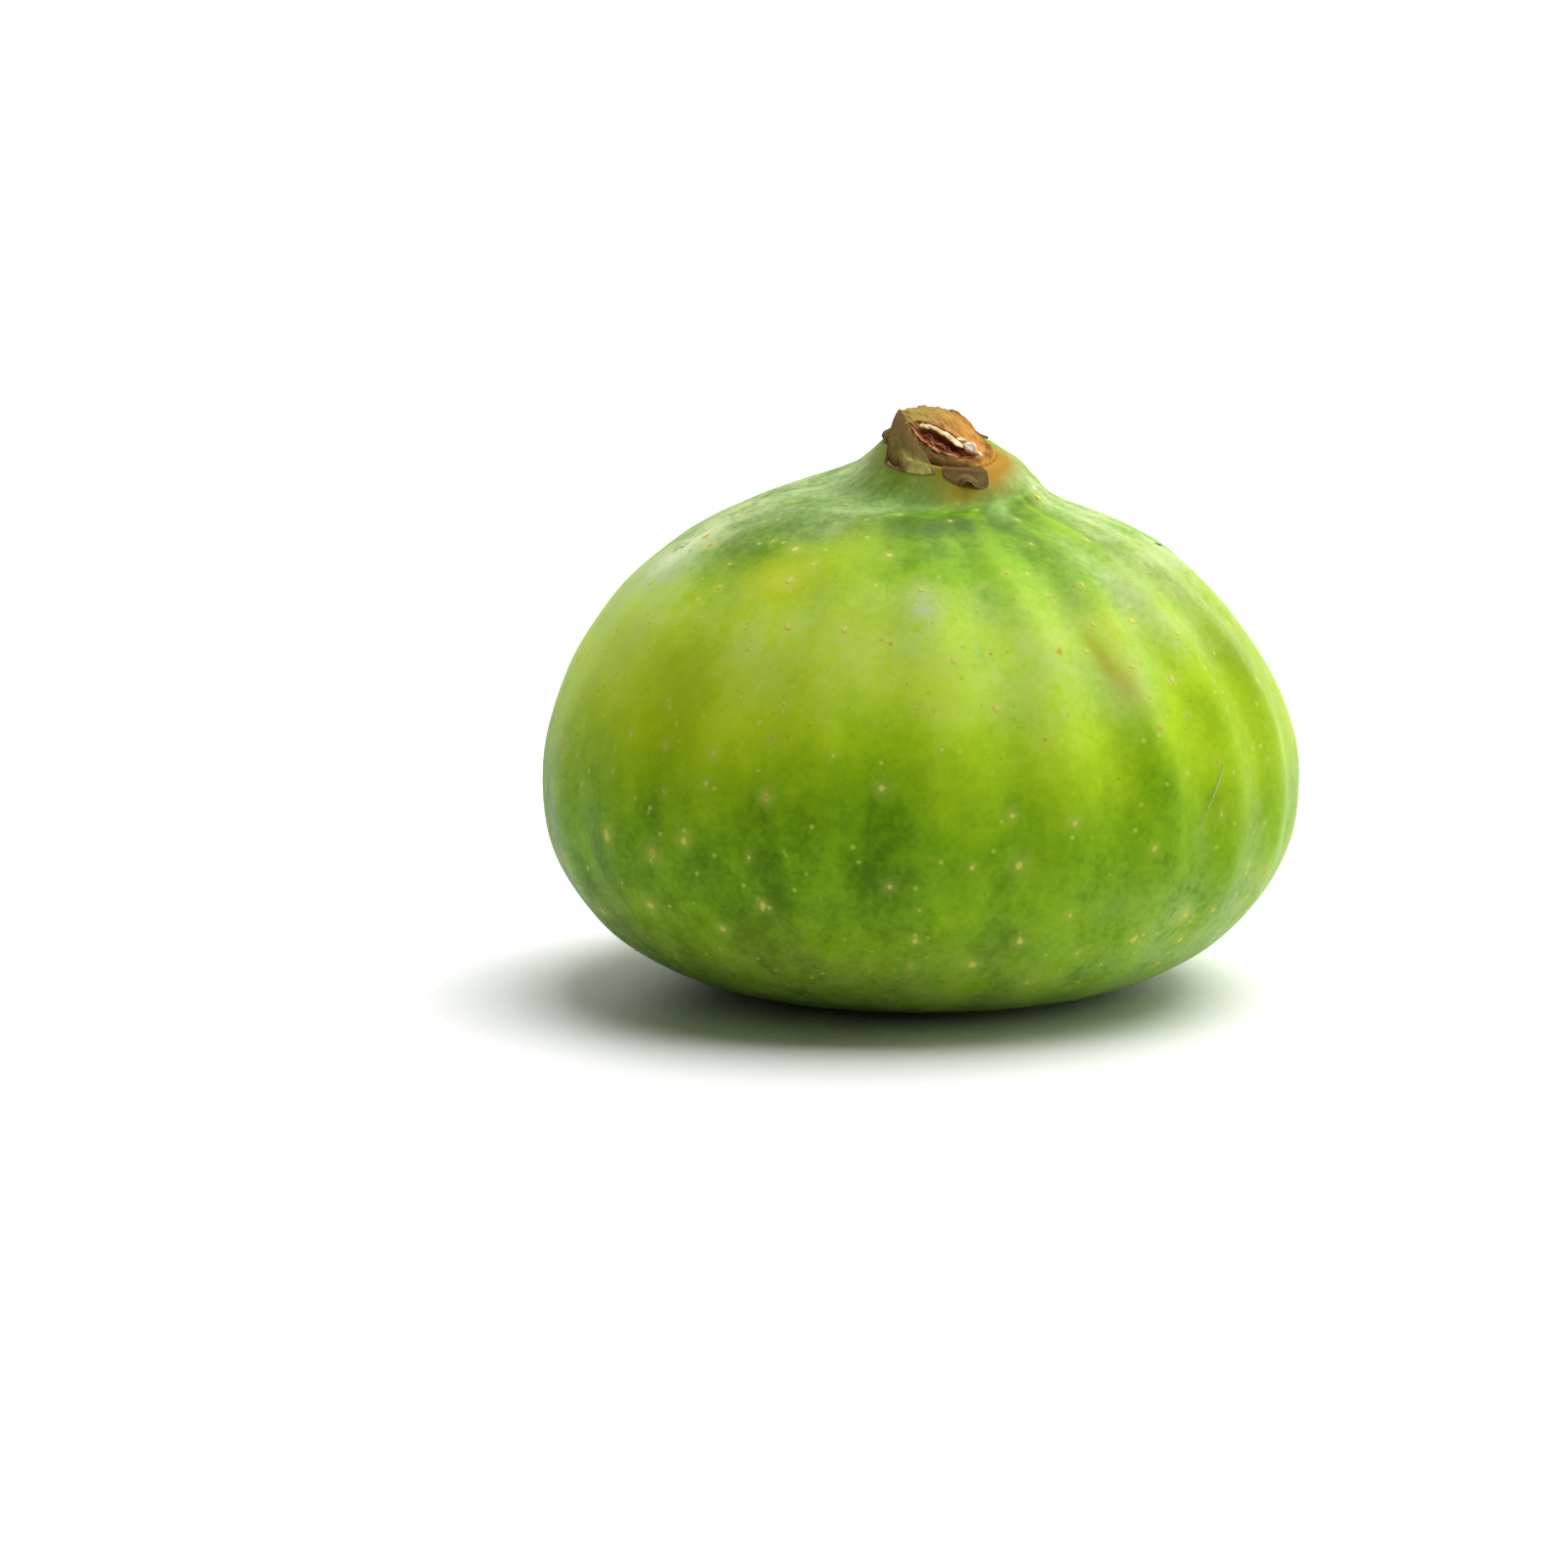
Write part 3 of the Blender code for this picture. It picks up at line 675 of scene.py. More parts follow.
def fibre(number):
    """One torn fibre: a thin tube that wanders along the wound, just over its floor."""
    lane = -0.85 + 1.1 * number / (FIBRES - 1)
    start, end = np.sort(draw.uniform(-0.85, 0.85, 2) + [-0.25, 0.25])
    long = np.linspace(start, end, FIBRE_ROWS)
    reach = np.sqrt(np.clip(1 - long**2, 0.05, 1))
    across = lane * reach + 0.10 * soft_noise(long[:, None], 0.5, 100 + number)
    dx, dy = long * WOUND_HALF_LENGTH, across * np.where(across > 0, WOUND_ABOVE, WOUND_BELOW)
    x = WOUND_MIDDLE[0] + dx * math.cos(WOUND_TURN) - dy * math.sin(WOUND_TURN)
    y = WOUND_MIDDLE[1] + dx * math.sin(WOUND_TURN) + dy * math.cos(WOUND_TURN)
    sink = WOUND_DEPTH * wound_share(x, y) * 0.75
    lift = 0.10 * soft_noise(long[:, None], 0.6, 200 + number) - sink
    taper = np.sqrt(np.clip(1 - np.linspace(-1, 1, FIBRE_ROWS) ** 4, 0, 1))
    path = np.column_stack([x, y, slope_height(x, y) + lift])
    return tube(path, FIBRE_HALF_WIDTH * taper, FIBRE_HALF_HEIGHT * taper, FIBRE_COLUMNS)


fibre_rings = np.stack([fibre(number) for number in range(FIBRES)])
one_fibre = np.arange(FIBRE_ROWS * FIBRE_COLUMNS).reshape(FIBRE_ROWS, FIBRE_COLUMNS)
fibre_quads = np.array(quads(np.hstack([one_fibre, one_fibre[:, :1]])))
fibre_faces = (fibre_quads + np.arange(FIBRES)[:, None, None] * one_fibre.size).reshape(-1, 4)
torn = mesh_object("torn_fibres", on_seat(*np.moveaxis(fibre_rings, -1, 0)), fibre_faces.tolist())
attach(torn, "root")

# %% Dried latex
# Each lump is (name, place on the cut, its three half sizes in mm, how high its middle is, seed).
LATEX_LUMPS = (
    ("latex_drop", (2.2, -0.95), (0.48, 0.40, 0.44), 0.12, 71),
    ("latex_crumb", (2.75, -1.70), (0.26, 0.22, 0.20), 0.05, 75),
    ("latex_smear", (1.45, 0.15), (0.34, 0.20, 0.14), 0.04, 78),
)


def latex_lump(name, place, half_sizes, lift, seed):
    """A ball stretched to its half sizes, times one plus two sizes of soft noise."""
    up = np.linspace(-math.pi / 2, math.pi / 2, 26)[:, None]
    turn = np.linspace(0, TURN, 36, endpoint=False)[None, :]
    flat = (np.cos(up) * np.cos(turn), np.cos(up) * np.sin(turn), np.sin(up) + 0 * turn)
    ball = np.stack(flat, axis=-1)
    lumpy = 1 + 0.20 * soft_noise(ball, 1.4, seed) + 0.06 * soft_noise(ball, 0.5, seed + 1)
    lump = ball * lumpy[..., None] * np.array(half_sizes)
    base = slope_height(*place) + lift
    made = closed_skin(name, on_seat(lump[..., 0] + place[0], lump[..., 1] + place[1], lump[..., 2] + base))
    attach(made, "root")
    return made


latex = [latex_lump(*lump) for lump in LATEX_LUMPS]

# %% Scratch and nick on the skin
# Each mark is (name, four corners as (azimuth in degrees, height in mm), radius in mm).
BODY_ROWS = slice(15, -14)
MARK_ROWS = 40
MARKS = (
    ("scratch", ((-39, 20.6), (-40, 19.4), (-42.5, 17.6), (-44.5, 15.3)), 0.07),
    ("nick", ((-6, 35.2), (-5.6, 35.1), (-5.2, 35.0), (-4.8, 34.9)), 0.09),
)


def skin_mark(name, corners, radius):
    """A thin rod that lies half sunk in the skin along a Bezier curve of azimuth and height."""
    turned, level = bezier(corners, np.linspace(0, 1, MARK_ROWS)).T
    place_along = np.interp(level, outline[BODY_ROWS, 1], row_place[BODY_ROWS])
    path = skin_place(np.radians(turned), place_along) / MM
    taper = radius * np.sqrt(np.clip(1 - np.linspace(-1, 1, MARK_ROWS) ** 2, 0, 1))
    taper = taper * (1 + 0.3 * soft_noise(path, 0.6, 81))
    made = closed_skin("skin_" + name, tube(path, taper, taper, 10) * MM)
    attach(made, "root")
    return made


marks = [skin_mark(*mark) for mark in MARKS]

# %% [markdown]
# ## The eye under the fruit
# The eye is the fruit's small mouth, closed by dried scales that lap over each other in a rosette.
# It lies in a dimple in the base. Each scale could be a sheet of its own, but so small a rosette
# shows only its steps, so one closed skin gives them: its lower face steps up past each row of
# tips, and its upper face is out of sight in the dimple.

# %% Eye scales
EYE_COLUMNS, EYE_ROWS, EYE_TIPS = 160, 34, 5
EYE_RADIUS, EYE_LOWEST, EYE_HIGHEST = 3.0, 0.45, 1.15
eye_azimuth = np.linspace(-math.pi, math.pi, EYE_COLUMNS, endpoint=False)[None, :]
eye_share = np.linspace(0, 1, EYE_ROWS)[:, None]
outer_tip = np.abs(np.cos(eye_azimuth * EYE_TIPS / 2))
inner_tip = np.abs(np.sin(eye_azimuth * EYE_TIPS / 2))
eye_radius = eye_share * EYE_RADIUS * (0.8 + 0.2 * outer_tip)
eye_low = EYE_LOWEST + 0.25 * rise(eye_share, 0.5 + 0.25 * inner_tip, 0.56 + 0.25 * inner_tip)
eye_low += 0.3 * (1 - rise(eye_share, 0.1, 0.3)) + 0.35 * eye_share**6
eye_low += 0.03 * np.cos(40 * eye_azimuth) * rise(eye_share, 0.2, 0.6)
eye_low = np.minimum(eye_low, EYE_HIGHEST - 0.02)
eye_top = EYE_HIGHEST + 0 * eye_low[::-1][1:]
eye_reach = np.vstack([eye_radius, eye_radius[::-1][1:]])
eye_height = np.vstack([eye_low, eye_top])
eye_x, eye_y = eye_reach * np.cos(eye_azimuth), eye_reach * np.sin(eye_azimuth)
eye = closed_skin("eye_rosette", np.stack([eye_x, eye_y, eye_height], axis=-1) * MM)
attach(eye, "root")
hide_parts("eye_scales")

# %% [markdown]
# ## Helpers for materials
# A colour is written as its sRGB hex value, as a paint chart gives it, and turned to the linear
# value that Blender mixes. A material is a small tree of nodes. It could be wired by hand in the
# editor, but here one function adds a node, with its settings and its links, and hands back the
# output that the next node takes, so that a finish reads from top to bottom.

# %% Colours and nodes
def colour(code):
    """Linear colour from an sRGB hex value: c/12.92 for dark shares, else ((c+0.055)/1.055)^2.4."""
    shares = [int(code[place : place + 2], 16) / 255 for place in (1, 3, 5)]
    return tuple(c / 12.92 if c <= 0.04045 else ((c + 0.055) / 1.055) ** 2.4 for c in shares) + (1.0,)


def add(tree, kind, inputs=None, out=None, stops=None, **settings):
    """Adds a node and returns its output. inputs are numbers, colours or other nodes' outputs."""
    node = tree.nodes.new("ShaderNode" + kind)
    for key, value in settings.items():
        setattr(node, key, value)
    if stops:
        elements = node.color_ramp.elements
        elements[0].position, elements[-1].position = stops[0][0], stops[-1][0]
        for place, _ in stops[1:-1]:
            elements.new(place)
        for element, (_, shade) in zip(elements, stops):
            element.color = colour(shade)
    for key, value in (inputs or {}).items():
        open_inputs = [socket for socket in node.inputs if socket.enabled]
        socket = node.inputs[key] if isinstance(key, int) else next(s for s in open_inputs if s.name == key)
        if isinstance(value, bpy.types.NodeSocket):
            tree.links.new(value, socket)
        else:
            socket.default_value = colour(value) if isinstance(value, str) else value
    return node.outputs[out] if out else next((s for s in node.outputs if s.enabled), None)


def new_material(name):
    """An empty material and its tree."""
    made = bpy.data.materials.new(name)
    made.use_nodes = True
    made.node_tree.nodes.clear()
    return made, made.node_tree


def per_mm(size):
    """A noise scale for features this many millimetres across."""
    return 1 / (size * MM)


print("a mid green in linear light:", [round(share, 3) for share in colour("#92ba18")])

# %% [markdown]
# ## The fig's skin
# A green fig's skin is thin and satin, with a dusty wax that lies thickest round the neck. Under
# the wax the green runs from deep to yellow in soft streaks that follow the fruit from neck to eye.
# One noise would make it look like stone, so the colour is built up as the real one grows: the
# ground first, then yellow, wax, dots and specks, and the stains round the stalk last. Painted shade
# is laid in with the stains, and the wax also carries a painted sheen and highlight.

# %% Fig skin material
# Fig skin under its bloom of wax: satin, not glossy, with colour that seems to lie under the wax.
skin_finish, tree = new_material("waxy green fig skin")
here = add(tree, "TexCoord", out="Object")
meridian = add(tree, "Attribute", attribute_name="meridian", out="Vector")
kept_names = ("tone", "wax", "rib", "halo", "yellow", "shade", "scar", "orange", "stain", "olive")
kept = (add(tree, "Attribute", attribute_name=name, out="Fac") for name in kept_names)
tone, wax, rib, near_pore, yellow, painted_shade, scar, orange_share, stained, olive = kept

# The meridian place has the fruit's radius as its unit, so a scale of 9 gives streaks of 3.3 mm.
streak_place = add(tree, "Mapping", {"Vector": meridian, "Scale": (1.0, 1.0, 1.3)})
streaks = add(tree, "TexNoise", {"Vector": streak_place, "Scale": 9.0, "Detail": 3.0, "Roughness": 0.5})
clouds = add(tree, "TexNoise", {"Vector": here, "Scale": per_mm(6), "Detail": 3.0, "Roughness": 0.5})
dapple = add(tree, "TexNoise", {"Vector": here, "Scale": per_mm(1.6), "Detail": 4.0, "Roughness": 0.6})
mottle = add(tree, "TexNoise", {"Vector": here, "Scale": per_mm(0.5), "Detail": 2.0, "Roughness": 0.6})
pale_share = add(tree, "Math", {0: rib, 1: 0.07, 2: tone}, operation="MULTIPLY_ADD")
for noise, reach in ((clouds, 0.10), (streaks, 0.09), (dapple, 0.08), (mottle, 0.06)):
    swing = {"Value": noise, "From Min": 0.3, "From Max": 0.7, "To Min": -reach, "To Max": reach}
    part = add(tree, "MapRange", swing)
    pale_share = add(tree, "Math", {0: pale_share, 1: part}, operation="ADD")
greens = ((0.0, "#4e7706"), (0.25, "#76a40f"), (0.5, "#92ba18"), (0.75, "#aace22"), (1.0, "#bddb3c"))
ground = add(tree, "ValToRGB", {"Fac": pale_share}, stops=greens)
yellow_share = add(tree, "Math", {0: yellow, 1: 0.75}, operation="MULTIPLY", use_clamp=True)
yellowed = add(tree, "Mix", {"Factor": yellow_share, "A": ground, "B": "#b9bf10"}, data_type="RGBA")

# The wax is broken up by bands, clouds and two fine noises, so that it lies in soft blotches with
# a fine grain. A real bloom is finer than a pixel, so its grain is drawn as coarse as it shows.
wax_place = add(tree, "Mapping", {"Vector": meridian, "Scale": (1.0, 1.0, 2.2)})
wax_bands = add(tree, "TexNoise", {"Vector": wax_place, "Scale": 8.0, "Detail": 4.0, "Roughness": 0.55})
wax_clouds = add(tree, "TexNoise", {"Vector": here, "Scale": per_mm(3.5), "Detail": 4.0, "Roughness": 0.6})
wax_patches = add(tree, "Mix", {"Factor": 0.6, "A": wax_bands, "B": wax_clouds}, data_type="FLOAT")
fine = add(tree, "Mix", {"Factor": 0.5, "A": dapple, "B": mottle}, data_type="FLOAT")
wax_grain = add(tree, "Mix", {"Factor": 0.42, "A": wax_patches, "B": fine}, data_type="FLOAT")
wax_spread = add(tree, "MapRange", {"Value": wax_grain, "From Min": 0.38, "From Max": 0.62, "To Max": 2.0})
# The wax share also carries painted light: partly a painted highlight across the front of the shoulder, and a
# painted sheen along the edges seen from the front.
wax_share = add(tree, "Math", {0: wax_spread, 1: wax}, operation="MULTIPLY", use_clamp=True)
thick = add(tree, "MapRange", {"Value": wax, "From Min": 0.9, "From Max": 1.5})
wax_shade = add(tree, "Mix", {"Factor": thick, "A": "#b4c68a", "B": "#dde3ba"}, data_type="RGBA")
waxed = add(tree, "Mix", {"Factor": wax_share, "A": yellowed, "B": wax_shade}, data_type="RGBA")

# Young pores are only pale dots, and a few dull specks lie between them.
cells = add(tree, "TexVoronoi", {"Vector": here, "Scale": per_mm(1.9)}, out="Distance")
dot_fade = {"Value": cells, "From Min": 0.06, "From Max": 0.13, "To Min": 0.6, "To Max": 0.0}
dot_share = add(tree, "MapRange", dot_fade)
dotted = add(tree, "Mix", {"Factor": dot_share, "A": waxed, "B": "#c6cf62"}, data_type="RGBA")
speck_cells = add(tree, "TexVoronoi", {"Vector": here, "Scale": per_mm(1.3)}, out="Distance")
speck_fade = {"Value": speck_cells, "From Min": 0.05, "From Max": 0.14, "To Min": 0.3, "To Max": 0.0}
speck_share = add(tree, "MapRange", speck_fade)
specked = add(tree, "Mix", {"Factor": speck_share, "A": dotted, "B": "#5f6a22"}, data_type="RGBA")

halo_share = add(tree, "Math", {0: near_pore, 1: 0.42}, operation="MULTIPLY")
coloured = add(tree, "Mix", {"Factor": halo_share, "A": specked, "B": "#bfc95a"}, data_type="RGBA")
# The first layer is painted shade: dark olive in a band under the bracts and in two patches on the right.
for share, strength, shade in (
    (painted_shade, 1.0, "#39480c"),
    (scar, 0.6, "#a08a30"),
    (olive, 0.5, "#8f8b3c"),
    (stained, 0.9, "#84740e"),
    (orange_share, 0.95, "#a47a12"),
):
    laid = add(tree, "Math", {0: share, 1: strength}, operation="MULTIPLY", use_clamp=True)
    coloured = add(tree, "Mix", {"Factor": laid, "A": coloured, "B": shade}, data_type="RGBA")

pits = add(tree, "TexNoise", {"Vector": here, "Scale": per_mm(0.7), "Detail": 3.0})
skin_bump = add(tree, "Bump", {"Height": pits, "Strength": 0.35, "Distance": 0.03 * MM})
skin_rough = add(tree, "MapRange", {"Value": wax_share, "To Min": 0.42, "To Max": 0.62})
skin_shader = add(
    tree,
    "BsdfPrincipled",
    {
        "Base Color": coloured,
        "Roughness": skin_rough,
        "Specular IOR Level": 0.05,
        "Sheen Weight": 0.05,
        "Sheen Roughness": 0.2,
        "Sheen Tint": "#eef2d8",
        "Normal": skin_bump,
    },
)
add(tree, "OutputMaterial", {"Surface": skin_shader})
skin.data.materials.append(skin_finish)
print(skin_finish.name, "has", len(tree.nodes), "nodes")

# %% Pore material
# Cork round a breathing pore: dry and pale, with an orange-brown middle where it has opened.
pore_finish, tree = new_material("pale cork of the pores")
open_middle = add(tree, "Attribute", attribute_name="core", out="Fac")
skirt = add(tree, "Attribute", attribute_name="skirt", out="Fac")
pale = add(tree, "Mix", {"Factor": skirt, "A": "#cccb62", "B": "#a9b83c"}, data_type="RGBA")
cork = add(tree, "Mix", {"Factor": open_middle, "A": pale, "B": "#b08c22"}, data_type="RGBA")
grain = add(tree, "TexNoise", {"Vector": add(tree, "TexCoord", out="Object"), "Scale": per_mm(0.3)})
cork_bump = add(tree, "Bump", {"Height": grain, "Strength": 0.4, "Distance": 0.02 * MM})
cork_surface = {"Base Color": cork, "Roughness": 0.7, "Specular IOR Level": 0.05, "Normal": cork_bump}
cork_shader = add(tree, "BsdfPrincipled", cork_surface)
add(tree, "OutputMaterial", {"Surface": cork_shader})
pores.data.materials.append(pore_finish)
print(pore_finish.name, "has", len(tree.nodes), "nodes")

# %% [markdown]
# ## The dried stalk, its bracts and the torn pith
# A cut stalk dries from its outside in: its bark goes olive-brown, its cut face tan and orange,
# and the torn flesh a deep red-brown. Its side facing the front is darkened with painted shade. The
# bracts are thin and leathery, dark at their edge, with painted shade of the curled lip just inside
# their pale tan edge.
# One brown noise would do from far off, but the eye finds the cut by its colours, so each part has
# a pair of colours of its own, mixed by the same blotches.

# %% Stub material
# Dried bark and cut wood: matt and rough, olive-brown at the left and lit orange at the right, and darkened
# on its front with painted shade.
stub_finish, tree = new_material("dried fig stalk")
here = add(tree, "TexCoord", out="Object")
kept_names = ("cut", "wound", "right", "front", "rim")
kept = (add(tree, "Attribute", attribute_name=name, out="Fac") for name in kept_names)
cut, torn_open, right, front_shade, at_rim = kept
blotches = add(tree, "TexNoise", {"Vector": here, "Scale": per_mm(1.4), "Detail": 5.0, "Roughness": 0.65})
specks = add(tree, "TexNoise", {"Vector": here, "Scale": per_mm(0.35), "Detail": 3.0, "Roughness": 0.6})
# The last pair, dark brown, is the painted shade for the front of the stub.
STALK_SHADES = (
    ("#5a4520", "#806a34"),
    ("#b07c22", "#cf9a3c"),
    ("#80692c", "#ab924c"),
    ("#b07628", "#cf9a50"),
    ("#40300e", "#60501c"),
)
bark, flank, tan, orange, painted_shade_brown = (
    add(tree, "Mix", {"Factor": blotches, "A": low, "B": high}, data_type="RGBA")
    for low, high in STALK_SHADES
)
sides = add(tree, "Mix", {"Factor": right, "A": bark, "B": flank}, data_type="RGBA")
cut_face = add(tree, "Mix", {"Factor": right, "A": tan, "B": orange}, data_type="RGBA")
both = add(tree, "Mix", {"Factor": cut, "A": sides, "B": cut_face}, data_type="RGBA")
# Painted shade: dark brown on the front of the stub and on the cut before the wound.
front_shaded = add(tree, "Mix", {"Factor": front_shade, "A": both, "B": painted_shade_brown}, data_type="RGBA")
dark = add(tree, "Mix", {"Factor": specks, "A": "#6e2c14", "B": "#b06638"}, data_type="RGBA")
rimmed = add(tree, "Mix", {"Factor": at_rim, "A": front_shaded, "B": "#664019"}, data_type="RGBA")
opened = add(tree, "Mix", {"Factor": torn_open, "A": rimmed, "B": dark}, data_type="RGBA")
stub_bump = add(tree, "Bump", {"Height": specks, "Strength": 0.7, "Distance": 0.10 * MM})
stub_surface = {"Base Color": opened, "Roughness": 0.7, "Specular IOR Level": 0.05, "Normal": stub_bump}
stub_shader = add(tree, "BsdfPrincipled", stub_surface)
add(tree, "OutputMaterial", {"Surface": stub_shader})
stub.data.materials.append(stub_finish)
print(stub_finish.name, "has", len(tree.nodes), "nodes")

# %% Bract material
# A scale leaf dried to thin leather: veins along it, a pale green share and a dark rim that curls; the dark
# band just inside its pale tan edge is painted shade of that curl.
bract_finish, tree = new_material("dried leathery bract")
here = add(tree, "TexCoord", out="Object")
kept = (add(tree, "Attribute", attribute_name=name, out="Fac") for name in ("edge", "margin", "pale"))
edge, margin, pale = kept
blotches = add(tree, "TexNoise", {"Vector": here, "Scale": per_mm(1.0), "Detail": 5.0, "Roughness": 0.65})
shifted = add(tree, "Math", {0: blotches, 1: 0.05, 2: edge}, operation="MULTIPLY_ADD")
# The dark stops at 0.9 and 0.97, just inside the pale tan edge, are painted shade of the curled lip.
browns = (
    (0.0, "#735022"), (0.35, "#6c5628"), (0.75, "#847a3a"),
    (0.9, "#5d4420"), (0.97, "#3a2212"), (1.0, "#c8a070"),
)
leather_and_lip_shade = add(tree, "ValToRGB", {"Fac": shifted}, stops=browns)
along_veins = add(tree, "Attribute", attribute_name="place", out="Vector")
veins = add(tree, "TexNoise", {"Vector": along_veins, "Scale": 26.0, "Detail": 3.0, "Roughness": 0.6})
vein_share = add(tree, "MapRange", {"Value": veins, "From Min": 0.35, "From Max": 0.65, "To Max": 0.9})
veined = add(tree, "Mix", {"Factor": vein_share, "A": leather_and_lip_shade, "B": "#574620"}, data_type="RGBA")
patchy = add(tree, "MapRange", {"Value": blotches, "From Min": 0.35, "From Max": 0.6, "To Min": 0.4})
pale_part = add(tree, "Math", {0: pale, 1: patchy}, operation="MULTIPLY")
greened = add(tree, "Mix", {"Factor": pale_part, "A": veined, "B": "#c4bb66"}, data_type="RGBA")
margined = add(tree, "Mix", {"Factor": margin, "A": greened, "B": "#5e4126"}, data_type="RGBA")
bract_relief = add(tree, "Math", {0: blotches, 1: veins}, operation="ADD")
bract_bump = add(tree, "Bump", {"Height": bract_relief, "Strength": 0.7, "Distance": 0.10 * MM})
bract_surface = {"Base Color": margined, "Roughness": 0.65, "Specular IOR Level": 0.06, "Normal": bract_bump}
bract_shader = add(tree, "BsdfPrincipled", bract_surface)
add(tree, "OutputMaterial", {"Surface": bract_shader})
for sheet in bracts:
    sheet.data.materials.append(bract_finish)
print(bract_finish.name, "has", len(tree.nodes), "nodes")

# %% Pith, fibre, latex and eye materials
def plain_organic(name, low, high, size, roughness, depth):
    """A dry plant surface: noise of one size mixes two colours and lifts the surface by its depth."""
    made, tree = new_material(name)
    here = add(tree, "TexCoord", out="Object")
    noise = add(tree, "TexNoise", {"Vector": here, "Scale": per_mm(size), "Detail": 4.0})
    spread = add(tree, "MapRange", {"Value": noise, "From Min": 0.3, "From Max": 0.7})
    shade = add(tree, "Mix", {"Factor": spread, "A": low, "B": high}, data_type="RGBA")
    relief = add(tree, "Bump", {"Height": noise, "Strength": 0.5, "Distance": depth * MM})
    surface = {"Base Color": shade, "Roughness": roughness, "Specular IOR Level": 0.08, "Normal": relief}
    shader = add(tree, "BsdfPrincipled", surface)
    add(tree, "OutputMaterial", {"Surface": shader})
    return made


# Pith dries to a cream, corky strip, the lightest thing in the wound. Torn fibres turn a deep
# red-brown, as cut fruit does, so the wound looks deep. The lips of the wound shrink to a paler,
# thin edge. Latex sets to a smooth, chalky white with a faint shine, and its thin parts yellow.
# The scratch has healed to a pale grey-green, the nick has dried brown, and the eye's scales are
# dry brown husk.
LATEX_SHADES = (("#f4e6cc", "#fdf4e2"), ("#e0bca6", "#f2dccc"), ("#e6ccaa", "#f4e4ca"))
MARK_SHADES = (("healed scratch", "#a3bb72", "#b9cb8c"), ("dried nick", "#5a4a2c", "#7a6440"))
finishes = [
    (pith, plain_organic("torn pale pith", "#b09c5c", "#ecdcae", 0.7, 0.5, 0.03)),
    (torn, plain_organic("torn brown fibre", "#5a2112", "#a0603c", 0.6, 0.55, 0.05)),
    (eye, plain_organic("dried eye scale", "#4b2f1a", "#8a6238", 0.8, 0.6, 0.08)),
]
lip_finish = plain_organic("dried red-brown lip", "#8a3c1c", "#d09a68", 0.5, 0.5, 0.06)
finishes += [(lower_lip, lip_finish), (upper_lip, lip_finish)]
for lump, (low, high) in zip(latex, LATEX_SHADES):
    finishes.append((lump, plain_organic("dried fig latex", low, high, 0.4, 0.35, 0.04)))
for mark, (real_name, low, high) in zip(marks, MARK_SHADES):
    finishes.append((mark, plain_organic(real_name, low, high, 0.5, 0.6, 0.03)))
for piece, finish in finishes:
    piece.data.materials.append(finish)
print(len(finishes), "small pieces have their finish")

# %% [markdown]
# ## Table, lights and camera
# The photograph was taken on a white table under soft light from above, with a long lens a little
# above the fig. Three lamps would cast three shadows, so one wide panel overhead gives the light
# top and the darker base, and a pale world fills the rest. The camera stands off at the distance
# that shows the fig at the same size.

# %% White table
# White acrylic with a satin face: it takes a soft shadow and no clear reflection.
TABLE_HALF, TABLE_POINTS = 0.55, 9
over_table = np.linspace(-TABLE_HALF, TABLE_HALF, TABLE_POINTS)
table_x, table_y = np.meshgrid(over_table, over_table)
table_points = np.stack([table_x, table_y, 0 * table_x], axis=-1)
table_index = np.arange(TABLE_POINTS**2).reshape(TABLE_POINTS, TABLE_POINTS)
table = mesh_object("table_top", table_points, quads(table_index))
table_finish, tree = new_material("white satin acrylic")
table_shader = add(
    tree, "BsdfPrincipled", {"Base Color": "#f2f2f2", "Roughness": 0.4, "Specular IOR Level": 0.08}
)
add(tree, "OutputMaterial", {"Surface": table_shader})
table.data.materials.append(table_finish)

# %% Lights
PANEL_SIZE, PANEL_RADIANCE = 1.3, 5.0
PANEL_PLACE = (0.36, 0.28, 1.16)
FRONT_STRENGTH, BACK_STRENGTH, SEEN_STRENGTH = 0.06, 1.0, 1.1
BRIGHT_SIDE = (0.55, 0.83, 0.0)

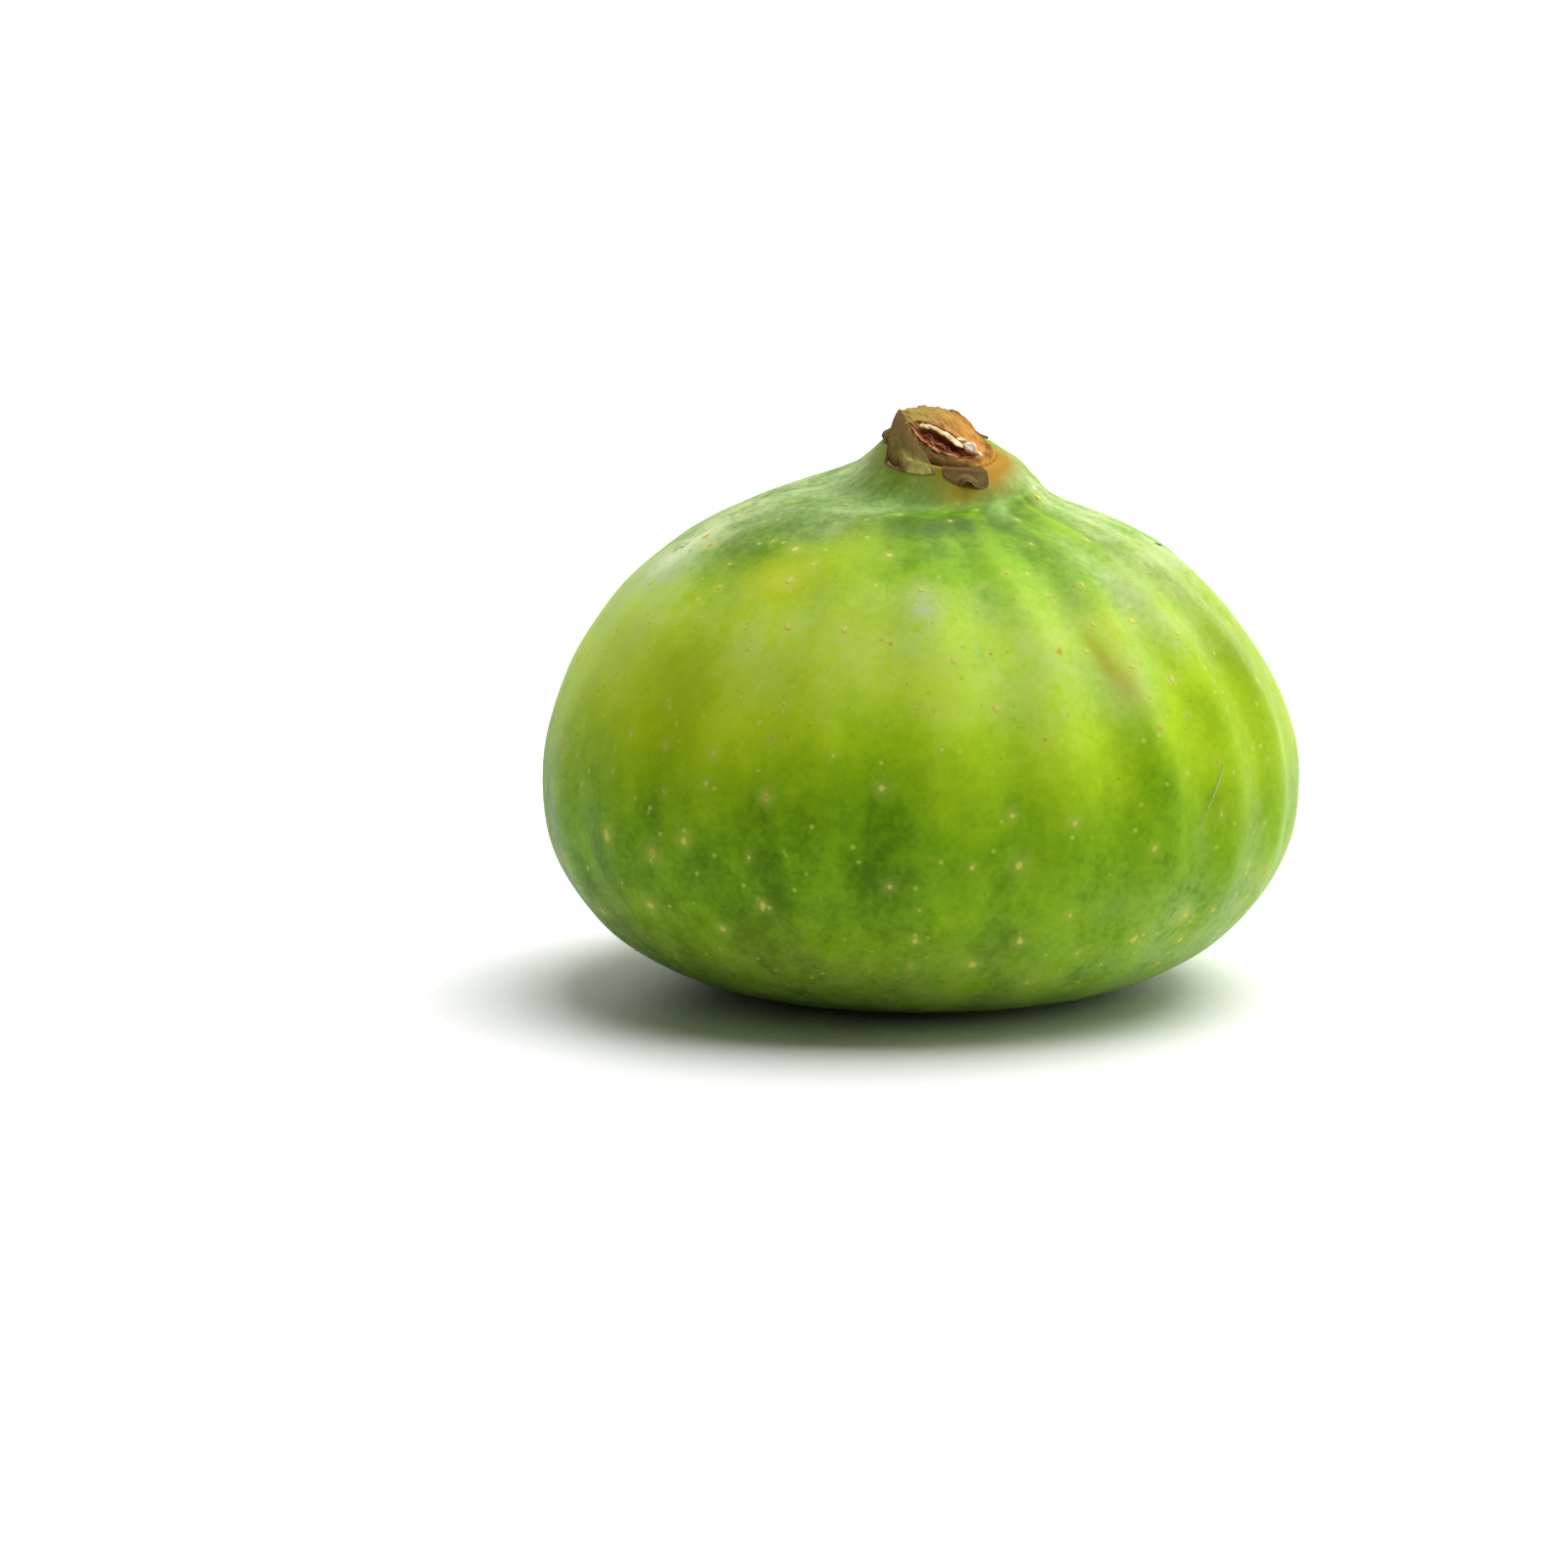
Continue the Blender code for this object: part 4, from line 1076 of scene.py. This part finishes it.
panel_data = bpy.data.lights.new("overhead_panel", "AREA")
panel_data.shape = "SQUARE"
panel_data.size = PANEL_SIZE
panel_data.energy = PANEL_RADIANCE * math.pi * PANEL_SIZE**2
panel = bpy.data.objects.new("overhead_panel", panel_data)
panel.location = PANEL_PLACE
panel_x, panel_y, panel_z = PANEL_PLACE
panel.rotation_euler = (-math.atan2(panel_y, panel_z), math.atan2(panel_x, panel_z), 0)
bpy.context.scene.collection.objects.link(panel)

world = bpy.data.worlds.new("pale_studio")
world.use_nodes = True
world.node_tree.nodes.clear()
tree = world.node_tree
way = add(tree, "TexCoord", out="Generated")
toward_back = add(tree, "VectorMath", {0: way, 1: BRIGHT_SIDE}, out="Value", operation="DOT_PRODUCT")
around = {"Value": toward_back, "From Min": -0.4, "From Max": 0.6}
around |= {"To Min": FRONT_STRENGTH, "To Max": BACK_STRENGTH}
room = add(tree, "MapRange", around, interpolation_type="SMOOTHSTEP")
seen = add(tree, "LightPath", out="Is Camera Ray")
strength = add(tree, "Mix", {"Factor": seen, "A": room, "B": SEEN_STRENGTH}, data_type="FLOAT")
sky = add(tree, "Background", {"Color": "#ffffff", "Strength": strength})
add(tree, "OutputWorld", {"Surface": sky})
bpy.context.scene.world = world
bpy.context.scene.view_settings.view_transform = "Standard"
print("one panel,", PANEL_SIZE, "m wide and", PANEL_PLACE[2], "m up, of", round(panel_data.energy, 1), "W")

# %% Camera
SEEN_WIDTH, CAMERA_DISTANCE = 124.3 * MM, 500 * MM
CAMERA_RISE = math.radians(9.75)
LOOKED_AT = np.array([-10.65, 0, 15.68]) * MM
SENSOR = 36.0

away = np.array([0, -math.cos(CAMERA_RISE), math.sin(CAMERA_RISE)])
camera_data = bpy.data.cameras.new("camera")
camera_data.sensor_width = SENSOR
camera_data.lens = SENSOR * CAMERA_DISTANCE / SEEN_WIDTH
camera_data.clip_start = 0.01
camera = bpy.data.objects.new("camera", camera_data)
camera.location = LOOKED_AT + away * CAMERA_DISTANCE
camera.rotation_euler = (math.pi / 2 - CAMERA_RISE, 0, 0)
bpy.context.scene.collection.objects.link(camera)
bpy.context.scene.camera = camera
print("a", round(camera_data.lens), "mm lens,", CAMERA_DISTANCE, "m from the fig")
